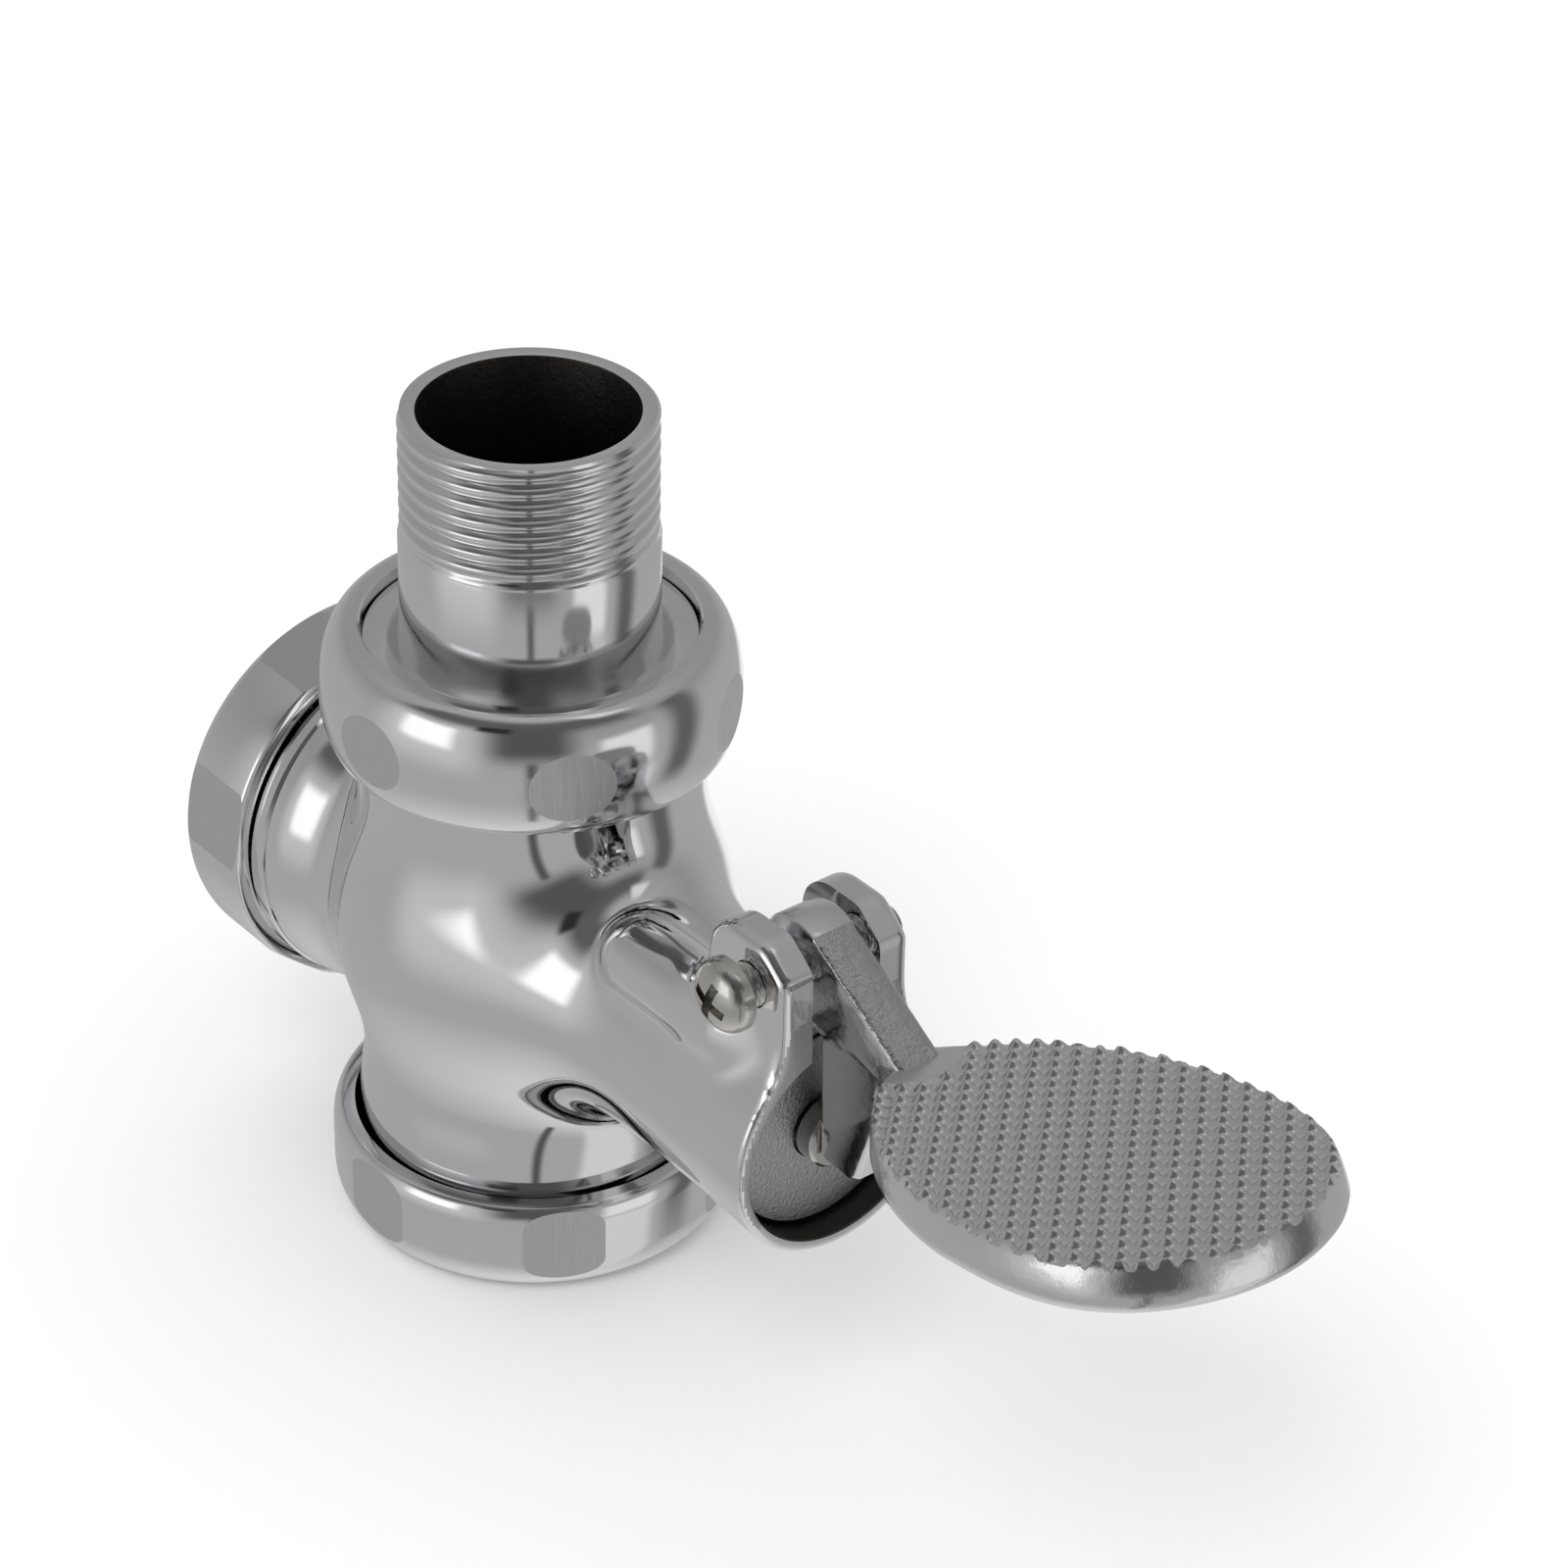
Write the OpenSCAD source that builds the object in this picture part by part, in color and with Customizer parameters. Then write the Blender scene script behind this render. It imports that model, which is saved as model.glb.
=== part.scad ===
// Foot pedal flush valve: a cross-shaped cast body with a threaded inlet on top,
// an outlet union below, a screwed cap at the back and a pedal on the horn in front.
// Z runs up the pipe line, X runs from the back cap to the pedal, units are millimetres.
// The origin is the centre of the outlet mouth, on the underside of the outlet nut.

/* [Inlet tailpiece] */
// Radius of the inlet pipe thread, G 3/4 male
thread_r = 13.22; // [12.8:0.02:13.6]
// Length of the inlet thread
thread_len = 13.8; // [10:0.2:18]
// Plain tube between the collar and the thread
plain_len = 12; // [6:0.5:20]
// How far the plain tube stands past the thread's crests
plain_step = 0.18; // [0.16:0.01:0.3]
// Radius of the water way through the tailpiece
tube_bore_r = 11.3; // [9:0.1:11.8]
// Thickness of the flange under the union nut
flange_t = 1.6; // [1.2:0.1:3]
// Height of the collar that stands through the nut
collar_h = 2.8; // [1.5:0.1:4]
// Thickness of the flat inlet washer
inlet_washer_t = 1.8; // [1:0.1:3]

/* [Union nuts] */
// Wall of the nuts outside their thread
nut_wall = 2.85; // [2:0.05:4]
// Height of the inlet nut's lip above the flange
inlet_lip_h = 4.4; // [3:0.1:6]
// Length of the inlet nut's threaded skirt
inlet_skirt = 9.2; // [7.5:0.1:11]
// Height of the outlet nut
outlet_nut_h = 11.1; // [10:0.1:13]
// Thickness of the outlet nut's floor
outlet_floor_t = 2.2; // [1.5:0.1:3]
// Depth of the wrench flats below the round of a nut
flat_depth = 0.4; // [0.2:0.05:0.8]

/* [Outlet] */
// Radius of the hole for the flush pipe
pipe_r = 16.3; // [14:0.1:17]
// Wall of the outlet socket, out to the crests of the union thread
socket_wall = 2.65; // [2.2:0.05:3]
// Thickness of the slip washer in the outlet nut
slip_t = 1.2; // [0.8:0.1:2]
// Height of the rubber ring above the slip washer
ring_h = 4.1; // [3:0.1:6]
// Depth of the pipe socket in the body
socket_len = 6.5; // [4:0.1:9]

/* [Body] */
// From the cross axis up to the end of the inlet neck
neck_up = 27.7; // [26.5:0.1:34]
// From the cross axis down to the end of the outlet neck
neck_down = 27.8; // [26.5:0.1:34]
// How far the necks lie under the crests of the union thread
neck_step = 0.75; // [0.4:0.05:1.2]
// How far the round belly at the crossing swells past the back branch
belly_swell = 1.4; // [1:0.1:2.4]
// From the cross axis to where a neck runs straight
neck_flare = 16; // [13:0.5:18]
// Radius of the branch that carries the back cap
branch_r = 19.6; // [19:0.1:20.4]
// From the pipe line to the end of the back branch
branch_len = 30.6; // [28:0.2:36]
// Wall of the piston's cylinder under the cap's thread
chamber_wall = 4.2; // [3.4:0.1:4.8]
// Thickness of the seat wall across the body
seat_wall = 3; // [2:0.1:4]

/* [Horn] */
// Radius of the horn at its waist
horn_waist_r = 12.4; // [11.8:0.1:13]
// From the pipe line to where the horn's waist starts
horn_flare = 28; // [25:0.5:31]
// Radius of the horn at its mouth
horn_mouth_r = 13; // [12.6:0.1:14]
// From the pipe line to the horn's mouth
horn_len = 51.9; // [50:0.1:56]
// Wall of the rim around the mouth
rim_wall = 1.4; // [1:0.1:2]
// Depth of the recess in the mouth
mouth_depth = 3.2; // [2.8:0.1:4]
// Gap between the two ears
ear_gap = 8.4; // [7:0.1:10]
// Thickness of each ear
ear_t = 3.8; // [3:0.1:5]
// Height of the pivot above the cross axis
pivot_up = 19.3; // [18.5:0.1:21]
// Distance of the pivot behind the horn's mouth
pivot_back = 5.1; // [4.5:0.1:6]

/* [Back cap] */
// Step of the branch's shoulder above the cap's thread
shoulder_step = 1.4; // [1:0.1:1.8]
// Wall of the cap outside its thread
cap_wall = 3; // [2.4:0.1:4]
// Thickness of the cap's end
cap_end_t = 3.7; // [2.6:0.1:4.6]
// Length of the cap's threaded skirt over the branch
cap_skirt = 5.5; // [4.2:0.1:5.6]
// Thickness of the cap's seal ring
cap_seal_t = 1.3; // [0.8:0.1:2]

/* [Piston] */
// Running clearance of the piston in its cylinder
piston_clear = 0.15; // [0.08:0.01:0.3]
// Length of the piston's head
piston_head_len = 5.3; // [4.8:0.1:7]
// Length of the piston's neck
piston_neck_len = 7.2; // [6.4:0.1:9]
// Radius of the piston's neck
piston_neck_r = 6; // [5:0.1:7]
// Radius of the seat hole
seat_r = 7.5; // [7.2:0.1:8.5]
// Thickness of the rubber seat disc
seat_disc_t = 1.95; // [1.5:0.05:3]
// Thickness of the flange behind the seat disc
disc_flange_t = 2; // [1.5:0.1:3]
// Radius of the pilot valve's stem
pilot_stem_r = 1.5; // [1.2:0.1:1.7]
// Radius of the pilot valve's head
pilot_head_r = 4.5; // [4.2:0.1:5.5]

/* [Springs] */
// Wire radius of the return spring
return_wire_r = 0.7; // [0.5:0.05:0.9]
// Mean radius of the return spring
return_coil_r = 9.5; // [8:0.1:11]
// Curls of the return spring
return_turns = 5; // [3:1:6]
// Wire radius of the pilot spring
pilot_wire_r = 0.3; // [0.2:0.05:0.4]
// Mean radius of the pilot spring
pilot_coil_r = 3.2; // [2.8:0.1:3.8]
// Curls of the pilot spring
pilot_turns = 4; // [3:1:6]
// Wire radius of the push pin's spring
pin_wire_r = 0.45; // [0.3:0.05:0.5]
// Mean radius of the push pin's spring
pin_coil_r = 5.4; // [5.2:0.1:5.6]
// Curls of the push pin's spring
pin_turns = 7; // [4:1:9]

/* [Push pin] */
// Radius of the push pin's rod
pin_r = 2.5; // [2:0.1:2.8]
// Radius of the push pin's head
pin_head_r = 3.6; // [3.3:0.1:4.2]
// Thickness of the push pin's head
pin_head_t = 2.2; // [1.6:0.1:2.6]
// Stroke of the push pin
pin_stroke = 2.55; // [2:0.05:2.8]
// Width of the square socket in the pin's head
pin_socket = 1.1; // [0.8:0.1:1.6]
// Radius of the guide bore for the rod's bush
bush_r = 6.5; // [6.2:0.1:7]
// Length of the rod's bush
bush_len = 3.4; // [2:0.1:5]

/* [Pedal] */
// Thickness of the pedal's arm, across the valve
arm_t = 5.2; // [4.6:0.1:6.4]
// Radius of the pedal's hub
hub_r = 5.3; // [5:0.1:6.2]
// Length of the foot plate
plate_len = 51.8; // [42:0.2:60]
// Width of the foot plate
plate_w = 39.6; // [32:0.2:46]
// Thickness of the foot plate
plate_t = 5.2; // [4.4:0.1:7]
// How far the foot plate's top edge lies inside its bulging side
plate_bulge = 2.2; // [1:0.1:3]
// Pitch of the studs, square to their rows
stud_pitch = 2.05; // [1.8:0.05:4]
// Height of the studs
stud_h = 0.85; // [0.4:0.05:1.2]
// Rise of the foot plate towards its tip, degrees
plate_tilt = 11; // [6:0.5:14]
// Distance of the foot plate's back edge from the pivot
plate_off = 15.6; // [13:0.2:20]
// Drop of the foot plate's back edge below the pivot
plate_drop = 3.3; // [2:0.1:5]
// Height of the web's nose that pushes the pin
nose_h = 2.8; // [2:0.1:4]

/* [Pivot screw] */
// Radius of the pivot screw's shank
screw_r = 2.4; // [2:0.05:2.6]
// Radius of the pivot screw's head
screw_head_r = 4.4; // [3.8:0.1:5]
// Height of the pivot screw's head
screw_head_h = 3.2; // [2.4:0.1:4]
// Bare shank showing between the head and the ear
screw_show = 2.2; // [0.5:0.1:3]
// How far the screw's tip stands out of the far ear
screw_tip = 1.6; // [0.5:0.1:3]

/* [Hidden] */

// Clearances: threads and static fits, moving fits, faces that meet, spring ends
thread_clear = 0.1;
run_clear = 0.08;
face_gap = 0.05;
touch_gap = 0.1;
spring_gap = 0.1;
// Overshoot of a cut past the face it opens
over = 1;
// Broken edge and lead-in chamfer of the turned pieces
edge = 0.3;
lead = 0.6;

// Radii of the casting: union thread, necks, cap thread, piston's cylinder, belly
union_r = pipe_r + socket_wall;
neck_r = union_r - neck_step;
cap_thread_r = branch_r - shoulder_step;
chamber_r = cap_thread_r - chamber_wall;
belly_r = branch_r + belly_swell;

// Heights, from the outlet nut's underside up
neck_low_z = outlet_floor_t + slip_t + ring_h;
axis_z = neck_low_z + neck_down;
neck_top_z = axis_z + neck_up;
flange_z = neck_top_z + inlet_washer_t;
collar_z = flange_z + flange_t;
tube_z = collar_z + collar_h;
thread_z = tube_z + plain_len;
top_z = thread_z + thread_len;

// Nuts: turned forms with six shallow wrench flats, and their turn about the axis
nut_thread_r = union_r + thread_clear;
nut_r = nut_thread_r + nut_wall;
flange_r = union_r - 0.25;
flange_ledge = 1.4;
collar_r = flange_r - flange_ledge;
lip_hole_r = collar_r + 0.15;
lip_flat_w = 1.25;
lip_flat_r = lip_hole_r + lip_flat_w;
lip_top_z = collar_z + inlet_lip_h;
nut_low_z = collar_z - inlet_skirt;
nut_round = 2.2;
foot_w = 3.05;
foot_h = 4;
crown_w = 0.4 * nut_wall;
crown_h = 2.6;
mouth_w = 0.3 * nut_wall;
mouth_h = 1.3;
flat_turn_up = -25;
flat_turn_low = -28;
flat_turn_cap = 20;
low_thread_len = outlet_nut_h - neck_low_z + lead;
top_thread_len = neck_top_z - nut_low_z - 0.2;

// Cap
cap_in_r = cap_thread_r + thread_clear;
cap_r = cap_in_r + cap_wall;
branch_x = -branch_len;
cap_in_x = branch_x - cap_seal_t;
cap_back_x = cap_in_x - cap_end_t;
cap_rim_x = branch_x + cap_skirt;
cap_round = 2;
cap_flat_depth = 0.5;
cap_thread_len = 6;
shoulder_x = branch_x + cap_thread_len;
shoulder_w = 2.2;
shoulder_relief = 0.35;
branch_waist = 7;
branch_flare = -shoulder_x - branch_waist;

// Piston train, from the seat lip back towards the cap
seat_lip = 1;
seat_lip_w = 1.3;
disc_front_x = -seat_lip - face_gap;
disc_back_x = disc_front_x - seat_disc_t;
flange_back_x = disc_back_x - disc_flange_t;
head_front_x = flange_back_x - piston_neck_len;
head_back_x = head_front_x - piston_head_len;
piston_r = chamber_r - piston_clear;
disc_rim = 2.1;
disc_r = seat_r + disc_rim;
spigot_r = 4;
pilot_bore_r = pilot_stem_r + 0.7;
retainer_r = seat_r - 0.7;
retainer_t = 2.2;
retainer_x = disc_front_x + retainer_t;
cup_w = 2.3;
cup_depth = 2.3;
cup_heel = 1;
cup_lip = lead - run_clear;
groove_x = (head_back_x + head_front_x - cup_w) / 2;
bleed_r = 0.4;
bleed_z = axis_z + (piston_neck_r + piston_r - cup_depth) / 2;
pilot_seal_t = 0.8;
pilot_head_t = 2.1;
pilot_post_t = 1.2;
pilot_post_r = 2.1;
pilot_front_x = head_back_x - face_gap;
pilot_seal_x = pilot_front_x - pilot_seal_t;
pilot_head_x = pilot_seal_x - pilot_head_t;

// Passages
outlet_chamber_r = 9;
outlet_chamber_len = 13;
outlet_chamber_x = seat_wall + outlet_chamber_len;
outlet_way_r = 7;
outlet_way_x = outlet_chamber_x - outlet_way_r;
inlet_way_r = 5.5;
inlet_way_x = -seat_lip - inlet_way_r + edge;
inlet_neck_wall = 6.95;
inlet_socket_r = union_r - inlet_neck_wall;
inlet_socket_len = 9;

// Horn and what it holds, from the mouth back to the pilot valve's tip
mouth_r = horn_mouth_r - rim_wall;
face_x = horn_len - mouth_depth;
pin_face_x = face_x + pin_stroke + face_gap;
pin_head_x = pin_face_x - pin_head_t;
pocket_x = pin_head_x - pin_stroke - 0.35;
guide_len = 6.2;
bush_x = pocket_x - guide_len;
seal_pocket = 2;
rod_tube_r = 0.9;
rod_ring_r = pin_r + face_gap + rod_tube_r;
bush_back_x = bush_x - bush_len;
collar_t = 1;
pin_collar_x = bush_back_x - touch_gap;
spring_step = 4;
spring_step_gap = 2.1;
spring_seat_x = outlet_chamber_x + spring_step;
spring_seat_r = pin_r + spring_step_gap;
pilot_tip_x = outlet_way_x - edge;
rod_end_x = pilot_tip_x + edge;
rod_end_chamfer = 0.5;

// Pivot and ears
pivot_x = horn_len - pivot_back;
pivot_z = axis_z + pivot_up;
ear_in = ear_gap / 2;
ear_out = ear_in + ear_t;
ear_top = 5;
ear_rear = 7.2;
ear_round = 4.4;
ear_front_drop = 3.2;
ear_bevel_x = 3.4;
ear_bevel_z = 0.2;
slot_floor_z = min(pivot_z - hub_r - 0.7, axis_z + horn_mouth_r - 0.4);
hump_r = 4.3;
hump_y = -ear_in - hump_r / 2 + 0.15;
hump_back = 19.3;
hump_len = 15.3;
hump_sink = 1.2;
hump_x = pivot_x - hump_back;
hump_z = axis_z + horn_waist_r - hump_sink;

// Pedal
plate_back_x = pivot_x + plate_off;
plate_back_z = pivot_z - plate_drop;
nose_x = pin_face_x + touch_gap;
nose_r = arm_t / 2;
nose_z = axis_z - nose_h / 2;
heel = 1;
arm_sink = 2;
arm_drop = stud_h + touch_gap;
stud_blunt = 0.15;
web_tip = 4.4;
web_back = 3.4;
web_drop = 2.2;

function arc(cx, cy, rx, ry, a0, a1, n) =
    [for (i = [0:n]) let (a = a0 + (a1 - a0) * i / n) [cx + rx * cos(a), cy + ry * sin(a)]];

// Flare that is tangent to the round belly and to a straight branch of radius r at x,
// as [radius, distance] points from the belly outwards
function flare_radius(r, x) =
    (pow(x, 2) + pow(r, 2) - pow(belly_r, 2)) / (2 * (belly_r - r));
function flare(r, x, n) =
    let (f = flare_radius(r, x), a0 = atan2(x, r + f))
    [for (i = [0:n]) let (a = a0 * (1 - i / n)) [r + f - f * cos(a), x - f * sin(a)]];

// Egg outline of the foot plate: narrow at its back, blunt and broad at its tip
egg_power = 0.92;
egg_mean = 0.97;
egg_taper = 0.21;
function egg(len, w, n) =
    [for (i = [0:n - 1]) let (a = 360 * i / n, c = cos(a), s = sin(a))
        [len / 2 * (1 + c), w / 2 * sign(s) * pow(abs(s), egg_power) * (egg_mean + egg_taper * c)]];

// One unbroken wire tube along a coil, ends flat, made of rings of six points
wire_sides = 6;
curl_rings = 12;
function coil_point(r, len, turns, t) =
    [r * cos(360 * turns * t), r * sin(360 * turns * t), len * t];
function coil_ring(r, len, turns, wire, t) =
    let (a = 360 * turns * t, p = coil_point(r, len, turns, t))
    [for (j = [0:wire_sides - 1]) let (b = 360 * j / wire_sides)
        p + wire * (cos(b) * [cos(a), sin(a), 0] + sin(b) * [0, 0, 1])];

module coil(r, len, turns, wire) {
    rings = turns * curl_rings;
    n = wire_sides;
    points = [for (i = [0:rings]) each coil_ring(r, len - 2 * wire, turns, wire, i / rings)];
    walls = [for (i = [0:rings - 1], j = [0:n - 1])
        let (a = i * n + j, b = i * n + (j + 1) % n)
        each [[a, b, b + n], [a, b + n, a + n]]];
    first = [for (j = [1:n - 2]) [0, j + 1, j]];
    last = [for (j = [1:n - 2]) let (k = rings * n) [k, k + j, k + j + 1]];
    translate([0, 0, wire]) polyhedron(points = points, faces = concat(walls, first, last), convexity = 6);
}

module along_x(x = 0) {
    translate([x, 0, axis_z]) rotate([0, 90, 0]) children();
}

module rod_x(x0, x1, r) {
    along_x(x0) cylinder(h = x1 - x0, r = r, $fn = 96);
}

module ring_x(x0, x1, r_in, r_out) {
    difference() {
        rod_x(x0, x1, r_out);
        rod_x(x0 - over, x1 + over, r_in);
    }
}

module rod_z(z0, z1, r, x = 0) {
    translate([x, 0, z0]) cylinder(h = z1 - z0, r = r, $fn = 96);
}

// Cylinder across the valve, centred on the pivot
module pivot_rod(h, r) {
    translate([pivot_x, 0, pivot_z]) rotate([90, 0, 0])
        cylinder(h = h, r = r, center = true, $fn = 96);
}

module spun(points) {
    rotate_extrude($fn = 96) polygon(points);
}

module hex_prism(flat, h, turn) {
    rotate([0, 0, turn + 30]) cylinder(h = h, r = flat / cos(30), $fn = 6);
}

// A straight branch of radius r and length len that flares into the belly from x on
module flared_branch(r, x, len) {
    curve = flare(r, x, 8);
    spun(concat([[0, 0], [curve[0][0], 0]], curve, [[r, len], [0, len]]));
}

module necks() {
    translate([0, 0, axis_z]) flared_branch(neck_r, neck_flare, neck_up - top_thread_len + lead);
    translate([0, 0, axis_z]) mirror([0, 0, 1])
        flared_branch(neck_r, neck_flare, neck_down - low_thread_len + lead);
    rod_z(neck_low_z, neck_low_z + low_thread_len, union_r);
    rod_z(neck_top_z - top_thread_len, neck_top_z, union_r);
}

module back_branch() {
    r = branch_r - shoulder_relief;
    curve = flare(r, branch_flare, 6);
    rotate([0, 0, 180]) translate([0, 0, axis_z]) rotate([0, 90, 0]) spun(concat(
        [[0, 0], [curve[0][0], 0]], curve,
        [[r, -shoulder_x - shoulder_w - lead], [branch_r, -shoulder_x - shoulder_w],
         [branch_r, -shoulder_x - edge], [branch_r - edge, -shoulder_x],
         [cap_thread_r, -shoulder_x], [cap_thread_r, -branch_x - lead],
         [cap_thread_r - lead, -branch_x], [0, -branch_x]]
    ));
}

// Horn as one turned form, with a slight bell towards its mouth
module horn() {
    bell = [for (i = [1:4]) let (t = i / 4)
        [horn_waist_r + (horn_mouth_r - horn_waist_r) * t * t, horn_flare + (horn_len - horn_flare) * t]];
    curve = flare(horn_waist_r, horn_flare, 8);
    along_x() spun(concat([[0, 0], [curve[0][0], 0]], curve, bell, [[0, horn_len]]));
}

// Ear seen from the side: rounded at the back, bevelled towards the mouth
module ear_profile() {
    x0 = pivot_x - ear_rear;
    z1 = pivot_z + ear_top;
    bevel_z = z1 - ear_front_drop;
    polygon(concat(
        [[x0, axis_z], [horn_len, axis_z], [horn_len, bevel_z]],
        [[horn_len - lead, bevel_z + 2 * lead], [horn_len - ear_bevel_x, z1 - ear_bevel_z]],
        arc(x0 + ear_round, z1 - ear_round, ear_round, ear_round, 90, 180, 6)
    ));
}

module ears() {
    for (y = [ear_out, -ear_in])
        translate([0, y, 0]) rotate([90, 0, 0]) linear_extrude(ear_t) ear_profile();
}

// Rounded boss on the horn's shoulder, running into the near ear
module hump() {
    translate([hump_x, hump_y, hump_z]) {
        sphere(r = hump_r, $fn = 64);
        rotate([0, 90, 0]) cylinder(h = hump_len, r = hump_r, $fn = 64);
    }
}

module body_ways() {
    rod_x(branch_x - over, 0, chamber_r);
    rod_z(neck_top_z - inlet_socket_len, neck_top_z + over, inlet_socket_r);
    rod_z(axis_z, neck_top_z - inlet_socket_len + over, inlet_way_r, inlet_way_x);
    rod_x(seat_wall, outlet_chamber_x, outlet_chamber_r);
    rod_x(-over, seat_wall + over, seat_r);
    rod_z(neck_low_z + socket_len - over, axis_z, outlet_way_r, outlet_way_x);
    rod_z(neck_low_z - over, neck_low_z + socket_len, pipe_r);
}

module horn_ways() {
    rod_x(outlet_chamber_x - over, spring_seat_x + over, spring_seat_r);
    rod_x(spring_seat_x, bush_x, bush_r);
    rod_x(bush_x - over, bush_x + seal_pocket, rod_ring_r + rod_tube_r + face_gap);
    rod_x(bush_x, pocket_x + over, pin_r + run_clear);
    rod_x(pocket_x, face_x + over, pin_head_r + 2 * run_clear);
    rod_x(face_x, horn_len + over, mouth_r);
}

module ear_slot() {
    translate([pivot_x - ear_rear - over, -ear_in, slot_floor_z])
        cube([ear_rear + pivot_back + 2 * over, ear_gap, pivot_up]);
    translate([face_x, -ear_in, axis_z]) cube([mouth_depth + over, ear_gap, pivot_up]);
    pivot_rod(2 * (ear_out + over), screw_r + thread_clear);
}

module valve_body() {
    color("silver") {
        difference() {
            union() {
                translate([0, 0, axis_z]) sphere(r = belly_r, $fn = 96);
                necks();
                back_branch();
                horn();
                ears();
                hump();
            }
            body_ways();
            horn_ways();
            ear_slot();
        }
        ring_x(-seat_lip, edge, seat_r, seat_r + seat_lip_w);
    }
}

// Turned tailpiece: flange, collar with a hollow cone up to the tube, thread at its crests
module inlet_tailpiece() {
    plain_r = thread_r + plain_step;
    cone_w = 1.1;
    cone_h = 0.9;
    color("lightsteelblue") spun([
        [tube_bore_r, flange_z], [flange_r, flange_z], [flange_r, collar_z],
        [collar_r, collar_z], [collar_r, tube_z - edge], [collar_r - edge, tube_z],
        [plain_r + cone_w, tube_z - cone_h], [plain_r + edge, tube_z - lead],
        [plain_r, tube_z + edge], [plain_r, thread_z],
        [thread_r, thread_z], [thread_r, top_z - edge], [thread_r - edge, top_z],
        [tube_bore_r + edge, top_z], [tube_bore_r, top_z - edge]
    ]);
}

module inlet_union_nut() {
    full_z = nut_low_z + (lip_top_z - nut_low_z) * 0.46;
    color("gainsboro") intersection() {
        spun(concat(
            [[nut_thread_r, nut_low_z], [nut_thread_r, collar_z], [lip_hole_r, collar_z],
             [lip_hole_r, lip_top_z - edge], [lip_hole_r + edge, lip_top_z]],
            arc(lip_flat_r, full_z, nut_r - lip_flat_r, lip_top_z - full_z, 90, 0, 9),
            arc(nut_r - nut_round, full_z, nut_round, full_z - nut_low_z, -6, -90, 8)
        ));
        translate([0, 0, nut_low_z - over])
            hex_prism(nut_r - flat_depth, lip_top_z - nut_low_z + 2 * over, flat_turn_up);
    }
}

module inlet_washer() {
    color("dimgray") difference() {
        rod_z(neck_top_z, flange_z, flange_r);
        rod_z(neck_top_z - over, flange_z + over, inlet_socket_r);
    }
}

module outlet_nut() {
    color("gainsboro") intersection() {
        spun(concat(
            [[pipe_r, 0]],
            arc(nut_r - foot_w, foot_h, foot_w, foot_h, -90, 0, 8),
            arc(nut_r - crown_w, outlet_nut_h - crown_h, crown_w, crown_h, 0, 90, 6),
            [[nut_thread_r + mouth_w, outlet_nut_h], [nut_thread_r + mouth_w - edge, outlet_nut_h - lead],
             [nut_thread_r, outlet_nut_h - mouth_h],
             [nut_thread_r, outlet_floor_t], [pipe_r, outlet_floor_t]]
        ));
        translate([0, 0, -over])
            hex_prism(nut_r - flat_depth, outlet_nut_h + 2 * over, flat_turn_low);
    }
}

module outlet_slip_washer() {
    color("goldenrod") difference() {
        rod_z(outlet_floor_t, outlet_floor_t + slip_t, union_r - face_gap);
        rod_z(outlet_floor_t - over, outlet_floor_t + slip_t + over, pipe_r + thread_clear);
    }
}

// Rubber ring with a cone on top that the neck's mouth squeezes
module outlet_seal_ring() {
    z0 = outlet_floor_t + slip_t;
    r_in = pipe_r + face_gap;
    r_out = union_r - face_gap;
    color("dimgray") spun([
        [r_in, z0], [r_out, z0], [r_out, neck_low_z - 1],
        [(r_in + r_out) / 2 + edge, neck_low_z], [r_in, neck_low_z]
    ]);
}

module back_cap() {
    color("gainsboro") intersection() {
        along_x() spun(concat(
            [[0, cap_back_x]],
            arc(cap_r - cap_round, cap_back_x + cap_round, cap_round, cap_round, -90, 0, 8),
            [[cap_r, cap_rim_x - lead], [cap_r - lead, cap_rim_x],
             [cap_in_r + lead, cap_rim_x], [cap_in_r, cap_rim_x - lead],
             [cap_in_r, cap_in_x], [0, cap_in_x]]
        ));
        along_x(cap_back_x - over)
            hex_prism(cap_r - cap_flat_depth, cap_rim_x - cap_back_x + 2 * over, flat_turn_cap);
    }
}

module cap_seal_ring() {
    color("dimgray") ring_x(cap_in_x, branch_x, chamber_r + edge, cap_thread_r - lead);
}

module return_spring() {
    color("darkgray") along_x(cap_in_x + spring_gap)
        coil(return_coil_r, head_back_x - cap_in_x - 2 * spring_gap, return_turns, return_wire_r);
}

// Piston with a groove for its cup seal, a narrow neck, the seat disc's flange and a spigot
module piston() {
    color("peru") difference() {
        along_x() spun([
            [pilot_bore_r, head_back_x], [piston_r - edge, head_back_x], [piston_r, head_back_x + edge],
            [piston_r, groove_x], [piston_r - cup_depth, groove_x],
            [piston_r - cup_depth, groove_x + cup_w], [piston_r, groove_x + cup_w],
            [piston_r, head_front_x - edge], [piston_r - edge, head_front_x],
            [piston_neck_r, head_front_x], [piston_neck_r, flange_back_x],
            [disc_r, flange_back_x], [disc_r, disc_back_x],
            [spigot_r, disc_back_x], [spigot_r, retainer_x], [pilot_bore_r, retainer_x]
        ]);
        translate([head_back_x - over, 0, bleed_z]) rotate([0, 90, 0])
            cylinder(h = piston_head_len + 2 * over, r = bleed_r, $fn = 24);
    }
}

module piston_cup_seal() {
    in_r = piston_r - cup_depth + face_gap;
    out_r = chamber_r - run_clear;
    color("dimgray") along_x() spun([
        [in_r, groove_x + face_gap], [out_r, groove_x + face_gap],
        [out_r, groove_x + cup_heel], [out_r - cup_lip, groove_x + cup_w - face_gap],
        [in_r, groove_x + cup_w - face_gap]
    ]);
}

module seat_disc() {
    color("dimgray") ring_x(disc_back_x, disc_front_x, spigot_r + face_gap, disc_r);
}

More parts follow.
